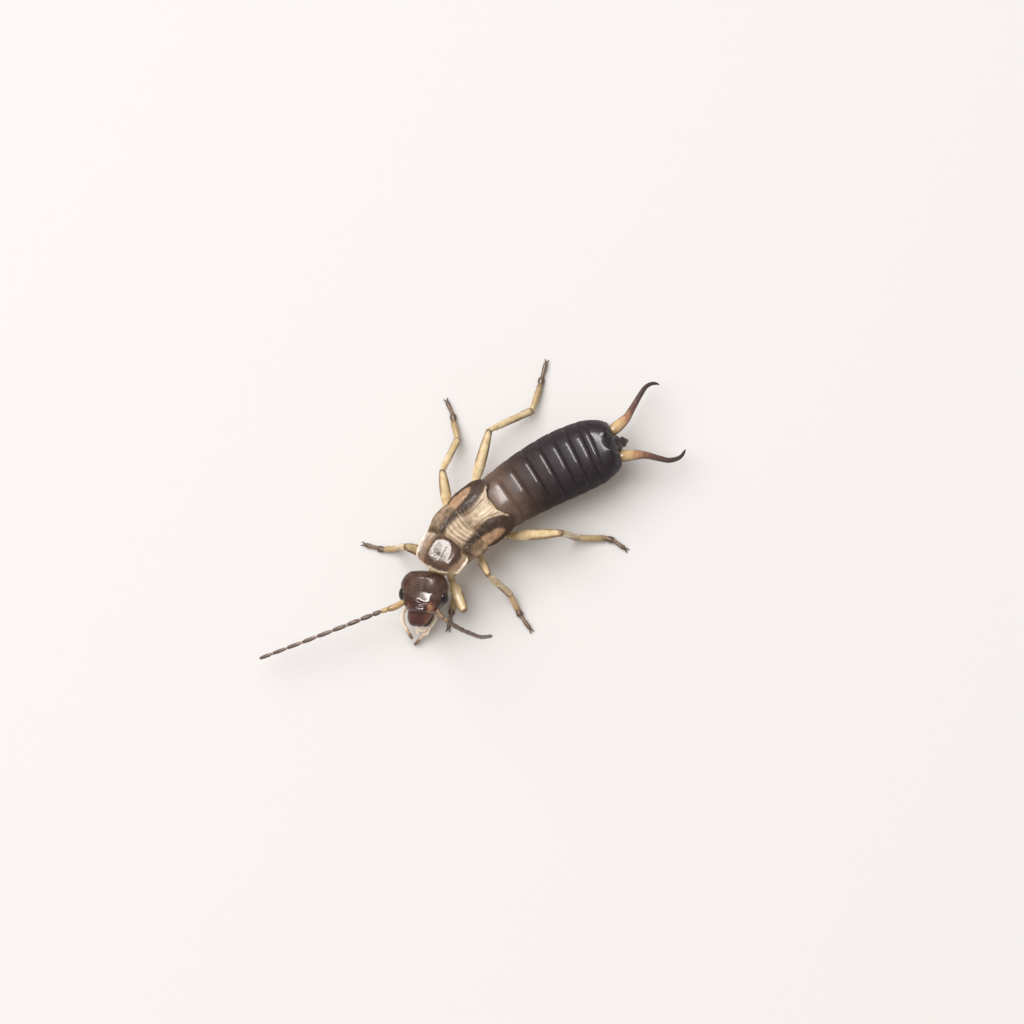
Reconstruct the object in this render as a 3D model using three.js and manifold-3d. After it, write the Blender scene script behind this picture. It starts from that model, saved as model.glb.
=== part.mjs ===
// Earwig nymph, last stage before adult, life-size and still.
// Millimetres, +Z up. The head points to -Y, the tail to +Y, the animal's left is +X.
// Every part is drawn round a line: the body line bends in plan, and each limb
// has its own short line. The origin ends up under the middle of the whole model.

import * as THREE from 'three';
import { mergeVertices } from 'three/addons/utils/BufferGeometryUtils.js';
import Module from 'manifold-3d';

const wasm = await Module();
wasm.setup();

// Driving sizes of the whole animal

const GAP = 0.1;               // between two parts that meet face to face
const FLOOR = 0;
const BODY_SIDES = 24;
const LIMB_SIDES = 10;
const RIGHT = -1;
const LEFT = 1;

// The body line: its turn in plan, in degrees from +Y towards +X, at distances
// behind the waist (the border of thorax and abdomen).

const WAIST = new THREE.Vector2(0.05, -0.02);
const TURN_AT = [-3.2, -2.0, -1.0, 0, 5.4];
const TURN = [-26, -13, 0, 4, 24];
const LINE_STEP = 0.05;

// Thorax, as distances along the body line

const PRONOTUM = { front: -3.18, rear: -1.98, half: 0.98, thick: 0.42, top: 2.28 };
const PROTHORAX = { front: -3.02, rear: -2.02, half: 0.62, top: 1.74, bottom: 0.96 };
const MESOTHORAX = { front: -1.86, rear: -1.02, half: 1.04, top: 2.22, bottom: 0.88 };
const METATHORAX = { front: -0.9, rear: -0.06, half: 1.1, top: 2.24, bottom: 0.82 };
const NECK = { radius: 0.3, level: 1.36 };

// Abdomen: ring lengths from the waist to the end plate, and how wide the
// abdomen is along the way

const RING_LENGTHS = [0.73, 0.62, 0.61, 0.58, 0.56, 0.5, 0.47, 0.33];
const END_RING_LENGTH = 0.93;
const ABDOMEN_AT = [0, 0.6, 1.9, 3.4, 4.3, 4.9, 5.4];
const ABDOMEN_HALF = [1.04, 1.1, 1.22, 1.3, 1.26, 1.06, 0.64];
const ABDOMEN_LEVEL = 1.4;     // height of the widest line
const ABDOMEN_FLATNESS = 0.64; // height over width
const RING_STEP = 0.05;        // how far a ring's rear edge stands over the next ring
const PYGIDIUM = { length: 0.44, half: 0.2, thick: 0.4, level: 1.32 };

// Forceps: two plain, slender, open blades

const CERCUS = { radius: 0.25, tip: 0.1, spread: 0.53, level: 1.3, tipLevel: 1.0 };

// Head: turned in plan, nodding down and rolled a little

const HEAD = {
  back: new THREE.Vector3(0.25, -3.37, 1.42),
  turn: 42,
  nod: 12,
  roll: 8,
  length: 1.44,
  half: 0.82,
  top: 0.44,
  bottom: 0.44,
};
const EYE = { along: 0.84, across: 0.7, up: 0.04, length: 0.24, width: 0.2, height: 0.22 };
const LABRUM = { length: 0.52, half: 0.44, thick: 0.22, up: 0.18 };
const JAW = { length: 0.46, root: 0.26, tip: 0.1, thick: 0.16, up: -0.1 };
const LABIUM = { length: 0.56, half: 0.24, thick: 0.16, up: -0.36 };
const PALP = { root: 0.18, tip: 0.1 };

// Feelers: a long first segment, a short second one, then beads that lengthen
// and shorten again along the way. Both feelers are alike but for their poses.

const FEELER = { scape: 0.82, pedicel: 0.24, root: 0.25, tip: 0.13, waist: 0.72 };
const BEAD_LENGTHS = [0.31, 0.46, 0.51, 0.54, 0.59, 0.56, 0.57, 0.53, 0.48];
const MIDDLE_BEADS = 5;        // the rest are in the end length

// Small helpers

const rad = THREE.MathUtils.degToRad;
const vec = (x, y, z) => new THREE.Vector3(x, y, z);
const UP = vec(0, 0, 1);

// Straight-line look-up between the points of a short list
function along(xs, ys, x) {
  let i = 1;
  while (i < xs.length - 1 && x > xs[i]) i += 1;
  const t = THREE.MathUtils.clamp((x - xs[i - 1]) / (xs[i] - xs[i - 1]), 0, 1);
  return ys[i - 1] + (ys[i] - ys[i - 1]) * t;
}

// A smooth rise from 0 to 1
const ease = (t) => t * t * (3 - 2 * t);

// Place and direction of the body line at a distance behind the waist
function bodyLine(distance) {
  const at = WAIST.clone();
  const steps = Math.ceil(Math.abs(distance) / LINE_STEP);
  const step = steps ? distance / steps : 0;
  for (let i = 0; i < steps; i += 1) {
    const turn = rad(along(TURN_AT, TURN, (i + 0.5) * step));
    at.x += Math.sin(turn) * step;
    at.y += Math.cos(turn) * step;
  }
  const turn = rad(along(TURN_AT, TURN, distance));
  return {
    at: vec(at.x, at.y, 0),
    back: vec(Math.sin(turn), Math.cos(turn), 0),
    left: vec(Math.cos(turn), -Math.sin(turn), 0),
  };
}

// A point given by its distance along the body line, its distance to the
// animal's left of it, and its height
function onBody(distance, leftward, height) {
  const line = bodyLine(distance);
  return line.at.addScaledVector(line.left, leftward).setZ(height);
}

// Closed skin through a row of stations. It starts as a plain lathe, one row for
// each station, and every row is then moved to its station. A station has a centre,
// two directions, half its width, its reach upwards and downwards, and how square it is.
function skin(stations, sides) {
  const last = stations.length - 1;
  const profile = [new THREE.Vector2(0, 0)];
  stations.forEach((_, row) => profile.push(new THREE.Vector2(1, row)));
  profile.push(new THREE.Vector2(0, last));
  const lathe = new THREE.LatheGeometry(profile, sides);
  const place = lathe.getAttribute('position');
  for (let i = 0; i < place.count; i += 1) {
    const station = stations[Math.round(place.getY(i))];
    const squareness = station.square ?? 1;
    const bulge = (v) => Math.sign(v) * Math.abs(v) ** squareness;
    const across = bulge(place.getX(i)) * station.half;
    const rise = bulge(place.getZ(i));
    const height = rise * (rise > 0 ? station.top : station.bottom);
    const point = station.at.clone()
      .addScaledVector(station.left, across)
      .addScaledVector(station.up, height);
    place.setXYZ(i, point.x, point.y, point.z);
  }
  return closed(lathe);
}

// Merge the shared corners, drop the flat triangles of the poles, and turn the
// faces outwards
function closed(geometry) {
  geometry.deleteAttribute('normal');
  geometry.deleteAttribute('uv');
  const merged = mergeVertices(geometry, 1e-5);
  const index = [];
  const source = merged.index.array;
  for (let i = 0; i < source.length; i += 3) {
    const [a, b, c] = [source[i], source[i + 1], source[i + 2]];
    if (a !== b && b !== c && c !== a) index.push(a, b, c);
  }
  merged.setIndex(index);
  if (volume(merged) < 0) merged.setIndex(index.reverse());
  return merged;
}

function volume(geometry) {
  const place = geometry.getAttribute('position');
  const index = geometry.index.array;
  const corner = (i) => vec(place.getX(i), place.getY(i), place.getZ(i));
  let sum = 0;
  for (let i = 0; i < index.length; i += 3) {
    sum += corner(index[i]).dot(corner(index[i + 1]).cross(corner(index[i + 2]))) / 6;
  }
  return sum;
}

// To and from the solids that can be joined and cut
function toSolid(geometry) {
  return new wasm.Manifold(new wasm.Mesh({
    numProp: 3,
    vertProperties: new Float32Array(geometry.getAttribute('position').array),
    triVerts: new Uint32Array(geometry.index.array),
  }));
}

function toGeometry(solid) {
  const pieces = solid.decompose();
  pieces.sort((a, b) => b.volume() - a.volume());
  const mesh = pieces[0].getMesh();
  const geometry = new THREE.BufferGeometry();
  geometry.setAttribute('position', new THREE.BufferAttribute(mesh.vertProperties, 3));
  geometry.setIndex(new THREE.BufferAttribute(mesh.triVerts, 1));
  return geometry;
}

const joined = (first, ...rest) =>
  toGeometry(rest.reduce((sum, piece) => sum.add(toSolid(piece)), toSolid(first)));
const cutClear = (first, ...rest) =>
  toGeometry(rest.reduce((sum, piece) => sum.subtract(toSolid(piece)), toSolid(first)));

// Stations along a smooth line through points, as for a limb. radiusAt gives the
// half thickness from 0 at the root to 1 at the tip, and the ends are flat.
function limbStations(points, radiusAt, rows, grow = 0) {
  const curve = new THREE.CatmullRomCurve3(points, false, 'centripetal');
  const stations = [];
  for (let row = 0; row < rows.length; row += 1) {
    const t = rows[row];
    const tangent = curve.getTangentAt(t);
    let left = vec(0, 0, 0).crossVectors(tangent, UP);
    if (left.length() < 0.2) left = vec(1, 0, 0);
    left.normalize();
    const up = vec(0, 0, 0).crossVectors(left, tangent).normalize();
    const radius = radiusAt(t) + grow;
    const beyond = row === 0 ? -grow : (row === rows.length - 1 ? grow : 0);
    const at = curve.getPointAt(t).addScaledVector(tangent, beyond);
    stations.push({ at, left, up, half: radius, top: radius, bottom: radius });
  }
  return stations;
}

const evenRows = (count) => Array.from({ length: count }, (_, i) => i / (count - 1));

// A straight limb segment between two joints, held back from each by half a gap,
// waisted at the joints and fullest at one place along it
function segment(from, to, sizes, grow = 0) {
  const direction = to.clone().sub(from).normalize();
  const start = from.clone().addScaledVector(direction, GAP / 2);
  const end = to.clone().addScaledVector(direction, -GAP / 2);
  const { root, full, tip, fullest = 0.5 } = sizes;
  const radiusAt = (t) => (t < fullest
    ? root + (full - root) * Math.sin((Math.PI / 2) * (t / fullest))
    : tip + (full - tip) * Math.cos((Math.PI / 2) * ((t - fullest) / (1 - fullest))));
  return limbStations([start, end], radiusAt, [0, 0.12, 0.3, 0.55, 0.8, 0.94, 1], grow);
}

// The model and its finishes

const model = new THREE.Group();

const finish = (color, roughness) =>
  new THREE.MeshStandardMaterial({ color, roughness, metalness: 0 });
const FINISH = {
  head: finish(0x4a3630, 0.3),
  mouth: finish(0x5a3028, 0.3),
  palp: finish(0xd8c9ae, 0.45),
  eye: finish(0x2a2426, 0.2),
  feeler: finish(0x6f5a50, 0.5),
  feelerRoot: finish(0xb79b6a, 0.45),
  shield: finish(0x5a463c, 0.35),
  thorax: finish(0xb59e7c, 0.45),
  pad: finish(0x6b5240, 0.4),
  belly: finish(0xd6bf94, 0.5),
  abdomen: finish(0x46393a, 0.25),
  leg: finish(0xd9bf86, 0.4),
  foot: finish(0xa98b5e, 0.45),
  blade: finish(0x7d5236, 0.3),
};

function add(name, geometry, material) {
  const mesh = new THREE.Mesh(geometry, material);
  mesh.name = name;
  model.add(mesh);
  return geometry;
}

const sideName = (side) => (side === LEFT ? 'left' : 'right');

// Thorax blocks: stations on the body line with rounded ends

function bodyBlock({ front, rear, half, top, bottom }, square = 0.8) {
  const centre = (top + bottom) / 2;
  const height = (top - bottom) / 2;
  const rows = [0, 0.1, 0.35, 0.65, 0.9, 1];
  return skin(rows.map((t) => {
    const line = bodyLine(front + (rear - front) * t);
    const ends = 1 - 0.14 * Math.abs(2 * t - 1) ** 4;
    return {
      at: line.at.setZ(centre), left: line.left, up: UP,
      half: half * ends, top: height * ends, bottom: height * ends, square,
    };
  }), BODY_SIDES);
}

// The same block a gap larger all round, for cutting its neighbours clear
const grownBlock = (block) => bodyBlock({
  ...block,
  front: block.front - GAP,
  rear: block.rear + GAP,
  half: block.half + GAP,
  top: block.top + GAP,
  bottom: block.bottom - GAP,
});

// Pronotum: a shield plate with a raised disc and thin turned-up side flanges

function pronotum(grow = 0) {
  const { front, rear, half, thick, top } = PRONOTUM;
  const rows = [0, 0.06, 0.25, 0.5, 0.75, 0.94, 1];
  return skin(rows.map((t) => {
    const line = bodyLine(front + (rear - front) * t);
    const rounded = 1 - 0.2 * Math.abs(2 * t - 1) ** 6;
    const crown = 1 - 0.3 * Math.abs(2 * t - 1) ** 3;
    return {
      at: line.at.setZ(top - thick), left: line.left, up: UP,
      half: half * rounded * (0.95 + 0.05 * t) + grow,
      top: thick * crown + grow, bottom: 0.12 + grow, square: 0.9,
    };
  }), BODY_SIDES);
}

add('pronotum', pronotum(), FINISH.shield);
add('prothorax', bodyBlock(PROTHORAX), FINISH.belly);

// Wing pads: leaf-shaped lobes that lie on the shoulders of the middle and the
// hind thorax and point backwards

const FORE_PAD = { front: -1.9, rear: -0.92, near: 0.66, far: 0.95, half: 0.35, up: 1.9 };
const HIND_PAD = { front: -0.8, rear: 0.44, near: 0.7, far: 0.82, half: 0.4, up: 1.9 };
const PAD_LEAN = 32;
const PAD_THICK = 0.48;

function wingPad({ front, rear, near, far, half, up }, side, grow = 0) {
  const rows = [0, 0.15, 0.4, 0.65, 0.85, 1];
  const leaf = [0.6, 0.88, 1, 0.95, 0.7, 0.3];
  return skin(rows.map((t, row) => {
    const line = bodyLine(front + (rear - front) * t);
    const outward = near + (far - near) * Math.sin((Math.PI / 2) * t);
    const beyond = row === 0 ? -grow : (row === rows.length - 1 ? grow : 0);
    const lean = rad(PAD_LEAN) * side;
    const left = line.left.clone().multiplyScalar(Math.cos(lean))
      .addScaledVector(UP, -Math.sin(lean));
    const above = line.left.clone().multiplyScalar(Math.sin(lean))
      .addScaledVector(UP, Math.cos(lean));
    return {
      at: line.at.addScaledVector(line.left, outward * side).setZ(up)
        .addScaledVector(line.back, beyond),
      left, up: above,
      half: half * leaf[row] + grow,
      top: (PAD_THICK / 2) * (0.6 + 0.4 * leaf[row]) + grow,
      bottom: (PAD_THICK / 2) * (0.6 + 0.4 * leaf[row]) + grow,
      square: 0.85,
    };
  }), 16);
}

const padCutters = [];
for (const side of [LEFT, RIGHT]) {
  add(`forewing_pad_${sideName(side)}`, wingPad(FORE_PAD, side), FINISH.pad);
  add(`hindwing_pad_${sideName(side)}`, wingPad(HIND_PAD, side), FINISH.pad);
  padCutters.push(wingPad(FORE_PAD, side, GAP), wingPad(HIND_PAD, side, GAP));
}
add('mesothorax', cutClear(bodyBlock(MESOTHORAX), ...padCutters), FINISH.thorax);
add('metathorax', cutClear(bodyBlock(METATHORAX), ...padCutters), FINISH.thorax);

// Abdomen: barrel rings. Each is a little narrower in front, where it slides
// under the ring before it, and has a sharp rear edge.

const abdomenHalf = (distance) => along(ABDOMEN_AT, ABDOMEN_HALF, distance);

function ring(front, rear) {
  const rows = [
    [front, -RING_STEP], [front + 0.06, 0], [(front + rear) / 2, 0.012],
    [rear - 0.04, RING_STEP / 2], [rear, RING_STEP / 4],
  ];
  return skin(rows.map(([distance, swell]) => {
    const line = bodyLine(distance);
    const half = abdomenHalf(distance) + swell;
    const height = abdomenHalf(distance) * ABDOMEN_FLATNESS + swell;
    return {
      at: line.at.setZ(ABDOMEN_LEVEL), left: line.left, up: UP,
      half, top: height, bottom: height, square: 0.92,
    };
  }), BODY_SIDES);
}

let ringFront = 0.04;
RING_LENGTHS.forEach((length, i) => {
  const rear = ringFront + length;
  const name = `abdomen_segment_${i + 1}`;
  const barrel = ring(ringFront + GAP / 2, rear - GAP / 2);
  const cutters = i === 0 ? padCutters : [];
  add(name, cutters.length ? cutClear(barrel, ...cutters) : barrel, FINISH.abdomen);
  ringFront = rear;
});

const endRear = ringFront + END_RING_LENGTH;
const endRows = [0, 0.1, 0.4, 0.75, 0.94, 1];
add('abdomen_last_segment', skin(endRows.map((t) => {
  const distance = ringFront + GAP / 2 + (END_RING_LENGTH - GAP / 2) * t;
  const line = bodyLine(distance);
  const half = abdomenHalf(distance) - RING_STEP * (1 - t);
  const height = Math.max(half * ABDOMEN_FLATNESS, 0.36) - 0.16 * ease(t);
  return {
    at: line.at.setZ(ABDOMEN_LEVEL - 0.06 * t), left: line.left, up: UP,
    half, top: height, bottom: height, square: 0.85,
  };
}), BODY_SIDES), FINISH.abdomen);

// Pygidium: the small pointed plate between the forceps

const pygidiumRows = [[0, 1], [0.3, 0.95], [0.65, 0.6], [1, 0.22]];
add('pygidium', skin(pygidiumRows.map(([t, scale]) => {
  const line = bodyLine(endRear + GAP + PYGIDIUM.length * t);
  return {
    at: line.at.setZ(PYGIDIUM.level - 0.06 * t), left: line.left, up: UP,
    half: PYGIDIUM.half * scale,
    top: (PYGIDIUM.thick / 2) * (0.4 + 0.6 * scale),
    bottom: (PYGIDIUM.thick / 2) * (0.4 + 0.6 * scale),
  };
}), 12), FINISH.blade);

// Forceps: one blade a side. The line of each is given from its root outwards, as
// distance behind the end plate and distance to its own side.

const CERCUS_LINE = {
  [RIGHT]: [[0, 0], [0.49, 0.29], [0.9, 0.64], [1.28, 0.99], [1.58, 1.23], [1.8, 1.31],
    [1.99, 1.29], [2.14, 1.2]],
  [LEFT]: [[0, 0], [0.34, 0.05], [0.78, 0.2], [1.17, 0.43], [1.52, 0.62], [1.83, 0.65],
    [2.04, 0.59], [2.27, 0.39]],
};

function cercus(side) {
  const root = endRear + GAP;
  const line = bodyLine(root);
  const points = CERCUS_LINE[side].map(([backward, outward], i, all) => {
    const drop = (CERCUS.level - CERCUS.tipLevel) * (i / (all.length - 1));
    return line.at.clone().setZ(CERCUS.level - drop)
      .addScaledVector(line.back, backward)
      .addScaledVector(line.left, side * (CERCUS.spread + outward));
  });
  const radiusAt = (t) => CERCUS.tip + (CERCUS.radius - CERCUS.tip) * (1 - t) ** 0.8;
  return skin(limbStations(points, radiusAt, evenRows(13)), LIMB_SIDES);
}

for (const side of [LEFT, RIGHT]) {
  add(`cercus_${sideName(side)}`, cercus(side), FINISH.blade);
}

// Head frame: forward, left and up of the turned, nodding and rolled head

const headTurn = new THREE.Matrix4()
  .makeRotationZ(rad(HEAD.turn))
  .multiply(new THREE.Matrix4().makeRotationX(rad(HEAD.nod)))
  .multiply(new THREE.Matrix4().makeRotationY(rad(-HEAD.roll)));
const headForward = vec(0, -1, 0).transformDirection(headTurn);
const headLeft = vec(1, 0, 0).transformDirection(headTurn);
const headUp = UP.clone().transformDirection(headTurn);

const onHead = (forward, leftward, upward) => HEAD.back.clone()
  .addScaledVector(headForward, forward)
  .addScaledVector(headLeft, leftward)
  .addScaledVector(headUp, upward);

// Head capsule: heart-shaped from above, narrowing to the face. Each row has its
// place along the head and its share of the full width, height and depth.

const HEAD_ROWS = [
  [0, 0.55, 0.55, 0.6], [0.05, 0.74, 0.75, 0.8], [0.17, 0.93, 0.92, 0.95], [0.36, 1, 1, 1],
  [0.58, 0.97, 1, 1], [0.78, 0.82, 0.9, 0.98], [0.92, 0.68, 0.76, 0.95], [1, 0.6, 0.66, 0.9],
];

function headCapsule(grow = 0) {
  return skin(HEAD_ROWS.map(([t, wide, high, deep], row) => {
    const beyond = row === 0 ? -grow : (row === HEAD_ROWS.length - 1 ? grow : 0);
    return {
      at: onHead(t * HEAD.length + beyond, 0, 0), left: headLeft, up: headUp,
      half: HEAD.half * wide + grow,
      top: HEAD.top * high + grow,
      bottom: HEAD.bottom * deep + grow,
      square: 0.88,
    };
  }), BODY_SIDES);
}

// Compound eyes, each in its own shallow cup in the side of the head

function eye(side, grow = 0) {
  const ball = new THREE.SphereGeometry(1, 14, 10);
  ball.scale(EYE.width + grow, EYE.length + grow, EYE.height + grow);
  ball.applyMatrix4(headTurn);
  const at = onHead(EYE.along, side * EYE.across, EYE.up);
  ball.translate(at.x, at.y, at.z);
  return closed(ball);
}

for (const side of [LEFT, RIGHT]) add(`eye_${sideName(side)}`, eye(side), FINISH.eye);
const eyeCups = [eye(LEFT, GAP / 2), eye(RIGHT, GAP / 2)];
add('head', cutClear(headCapsule(), ...eyeCups), FINISH.head);

// Neck: a short soft tube, cut clear of the head and the prothorax

const neckRear = onBody(PROTHORAX.front + 0.2, 0, NECK.level);
const neckFront = onHead(0.3, 0, 0).setZ(NECK.level);
const neckTube = skin(
  limbStations([neckRear, neckFront], () => NECK.radius, evenRows(4)),
  16,
);
add('neck', cutClear(neckTube, headCapsule(GAP), grownBlock(PROTHORAX)), FINISH.palp);

// Mouth: labrum in front, the two jaws under it, the labium below, and the palps

const faceAt = HEAD.length + GAP;

const labrumRows = [[0, 1, 1], [0.3, 1, 0.98], [0.7, 0.84, 0.85], [0.92, 0.55, 0.7], [1, 0.3, 0.5]];
add('labrum', skin(labrumRows.map(([t, wide, high]) => ({
  at: onHead(faceAt + t * LABRUM.length, 0, LABRUM.up - 0.1 * t), left: headLeft, up: headUp,
  half: LABRUM.half * wide,
  top: (LABRUM.thick / 2) * high,
  bottom: (LABRUM.thick / 2) * high,
  square: 0.85,
})), 16), FINISH.mouth);

function jaw(side) {
  const rows = [[0, 1], [0.35, 0.95], [0.7, 0.66], [1, 0.3]];
  return skin(rows.map(([t, wide]) => ({
    at: onHead(faceAt + t * JAW.length, side * (JAW.root - (JAW.root - JAW.tip) * t * t),
      JAW.up - 0.08 * t),
    left: headLeft,
    up: headUp,
    half: 0.16 * wide * (1 - 0.4 * t),
    top: (JAW.thick / 2) * (0.5 + 0.5 * wide),
    bottom: (JAW.thick / 2) * (0.5 + 0.5 * wide),
  })), 10);
}

const labiumRows = [[0, 1, 1], [0.4, 0.95, 1], [0.75, 0.8, 0.9], [1, 0.45, 0.6]];
const labiumPlate = skin(labiumRows.map(([t, wide, high]) => ({
  at: onHead(faceAt + t * LABIUM.length, 0, LABIUM.up - 0.06 * t), left: headLeft, up: headUp,
  half: LABIUM.half * wide,
  top: (LABIUM.thick / 2) * high,
  bottom: (LABIUM.thick / 2) * high,
  square: 0.85,
})), 12);

// Labial palps, one short one a side, joined to the plate
function labialPalp(side) {
  const points = [
    onHead(faceAt + 0.24, side * 0.12, LABIUM.up - 0.02),
    onHead(faceAt + 0.45, side * 0.15, LABIUM.up - 0.06),
    onHead(faceAt + 0.64, side * 0.12, LABIUM.up - 0.1),
  ];
  return skin(limbStations(points, (t) => 0.09 - 0.03 * t, evenRows(5)), 6);
}
add('labium', joined(labiumPlate, labialPalp(LEFT), labialPalp(RIGHT)), FINISH.palp);

// Maxillary palps: they start under the cheeks, curve round the mouth and nearly
// meet in front of it, the left one reaching past the right one
const PALP_LINE = {
  [LEFT]: [[1.1, 0.42, -0.3], [1.68, 0.54, -0.52], [2.1, 0.38, -0.64], [2.45, 0.06, -0.68],
    [2.68, -0.12, -0.68]],
  [RIGHT]: [[1.1, -0.42, -0.3], [1.6, -0.66, -0.32], [2.02, -0.58, -0.38], [2.34, -0.27, -0.4]],
};

function maxillaryPalp(side) {
  const points = PALP_LINE[side].map(([forward, leftward, up]) => onHead(forward, leftward, up));
  const joints = side === LEFT ? 4 : 3;
  const radiusAt = (t) => (PALP.root + (PALP.tip - PALP.root) * t)
    * (1 - 0.14 * Math.cos(2 * Math.PI * joints * t));
  return skin(limbStations(points, radiusAt, evenRows(4 * joints + 1)), 8);
}

for (const side of [LEFT, RIGHT]) {
  add(`mandible_${sideName(side)}`, jaw(side), FINISH.mouth);
  add(`maxillary_palp_${sideName(side)}`, cutClear(maxillaryPalp(side), headCapsule(GAP)),
    FINISH.palp);
}

// Feelers. Their lines are given by points in the model's space: the right one
// reaches forwards and level, the left one rises steeply and bends outwards.

const FEELER_LINE = {
  [RIGHT]: [onHead(0.9, -0.4, -0.04), vec(0.42, -5.02, 1.3), vec(0.23, -5.5, 1.36),
    vec(-0.4, -7.25, 1.42), vec(-1.49, -9.98, 1.12)],
  [LEFT]: [onHead(0.9, 0.4, 0), vec(1.72, -4.04, 1.5), vec(2.11, -4.01, 1.66),
    vec(2.64, -3.95, 2.2), vec(3.31, -3.82, 3.2), vec(3.75, -3.77, 4.3), vec(4.12, -3.61, 5.5)],
};

// One length of a feeler: rows of stations at the ends, waist and belly of its segments
function feelerLength(curve, segments, thicknessAt) {
  const total = curve.getLength();
  const rows = [];
  for (const { from, to } of segments) {
    const inset = 0.05;
    for (const [t, share] of [[0, FEELER.waist], [0.2, 0.95], [0.75, 1], [1, FEELER.waist]]) {
      const distance = from + inset / 2 + (to - from - inset) * t;
      rows.push({ t: distance / total, share });
    }
  }
  const stations = limbStations(curve.points, () => 1, rows.map((row) => row.t));
  stations.forEach((station, i) => {
    const radius = thicknessAt(rows[i].t * total) * rows[i].share;
    station.half = radius;
    station.top = radius;
    station.bottom = radius;
  });
  return skin(stations, 8);
}

function feeler(side) {
  const curve = new THREE.CatmullRomCurve3(FEELER_LINE[side], false, 'centripetal');
  const total = curve.getLength();
  const rootReach = 0.22;
  const natural = BEAD_LENGTHS.reduce((sum, length) => sum + length, 0)
    + FEELER.scape + FEELER.pedicel + rootReach;
  const scale = total / natural;
  const thicknessAt = (distance) => {
    const t = Math.max(0, distance / total - 0.3) / 0.7;
    return FEELER.root + (FEELER.tip - FEELER.root) * ease(t);
  };
  let distance = 0;
  const take = (length) => {
    const from = distance;
    distance += length * scale;
    return { from, to: distance };
  };
  const scape = take(rootReach + FEELER.scape);
  const pedicel = take(FEELER.pedicel);
  const beads = BEAD_LENGTHS.map(take);
  const lengths = {
    root: [scape, pedicel],
    middle: beads.slice(0, MIDDLE_BEADS),
    end: beads.slice(MIDDLE_BEADS),
  };
  for (const [name, segments] of Object.entries(lengths)) {
    const first = segments[0];
    const last = segments[segments.length - 1];
    if (name !== 'root') first.from += GAP / 2;
    if (name !== 'end') last.to -= GAP / 2;
    const piece = feelerLength(curve, segments, thicknessAt);
    const cut = name === 'root' ? cutClear(piece, headCapsule(GAP)) : piece;
    add(`antenna_${sideName(side)}_${name}`, cut, name === 'root' ? FINISH.feelerRoot : FINISH.feeler);
  }
}

for (const side of [LEFT, RIGHT]) feeler(side);

// Legs. Each has the places of its joints in the model's space: the root of the
// coxa under the thorax, the trochanter, the knee, the ankle, the two joints of the
// foot and the tip of the claws. Feet lie flat on the floor.

const FOOT_LEVEL = 0.15;
const LEGS = {
  front_left: {
    block: PROTHORAX, root: onBody(-2.5, 0.3, 1.2), trochanter: vec(0.92, -2.78, 0.78),
    knee: vec(2.2, -3.25, 1.1), ankle: vec(1.42, -3.0, 0.32),
    foot: [vec(1.71, -3.44, 0), vec(1.8, -3.56, 0), vec(2.14, -4.0, 0)],
  },
  front_right: {
    block: PROTHORAX, root: onBody(-2.5, -0.3, 1.2), trochanter: vec(-0.2, -2.66, 0.76),
    knee: vec(-1.0, -3.3, 1.5), ankle: vec(-1.34, -3.36, 0.32),
    foot: [vec(-1.73, -3.76, 0), vec(-1.88, -3.87, 0), vec(-2.35, -4.16, 0)],
  },
  middle_left: {
    block: MESOTHORAX, root: onBody(-1.45, 0.55, 1.2), trochanter: vec(0.92, -1.4, 0.78),
    knee: vec(1.92, -1.78, 1.8), ankle: vec(2.76, -1.49, 0.32),
    foot: [vec(3.38, -1.65, 0), vec(3.55, -1.7, 0), vec(4.19, -1.78, 0)],
  },
  middle_right: {
    block: MESOTHORAX, root: onBody(-1.45, -0.55, 1.2), trochanter: vec(-0.98, -1.2, 0.8),
    knee: vec(-2.22, -0.35, 1.15), ankle: vec(-2.91, 0.99, 0.32),
    foot: [vec(-3.6, 1.38, 0), vec(-3.8, 1.52, 0), vec(-4.35, 1.71, 0)],
  },
  hind_left: {
    block: METATHORAX, root: onBody(-0.5, 0.6, 1.15), trochanter: vec(1.1, -0.16, 0.74),
    knee: vec(2.57, 1.26, 2.0), ankle: vec(2.84, 1.79, 0.32),
    foot: [vec(3.57, 2.64, 0), vec(3.76, 2.76, 0), vec(4.3, 2.88, 0)],
  },
  hind_right: {
    block: METATHORAX, root: onBody(-0.5, -0.6, 1.15), trochanter: vec(-1.04, 0.08, 0.74),
    knee: vec(-2.17, 1.98, 1.2), ankle: vec(-1.84, 3.81, 0.32),
    foot: [vec(-2.48, 4.77, 0), vec(-2.62, 4.95, 0), vec(-2.98, 5.5, 0)],
  },
};

const COXA = { root: 0.34, full: 0.32, tip: 0.22, fullest: 0.3 };
const FEMUR = { root: 0.22, full: 0.27, tip: 0.2, fullest: 0.45 };
const TIBIA = { root: 0.2, full: 0.25, tip: 0.2, fullest: 0.35 };
const TOE_JOINTS = [[0, 0.2], [0.25, 0.24], [0.48, 0.2], [0.56, 0.22], [0.66, 0.18], [0.85, 0.16],
  [1, 0.11]];
const CLAW = { length: 0.2, spread: 28, radius: 0.06 };

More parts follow.
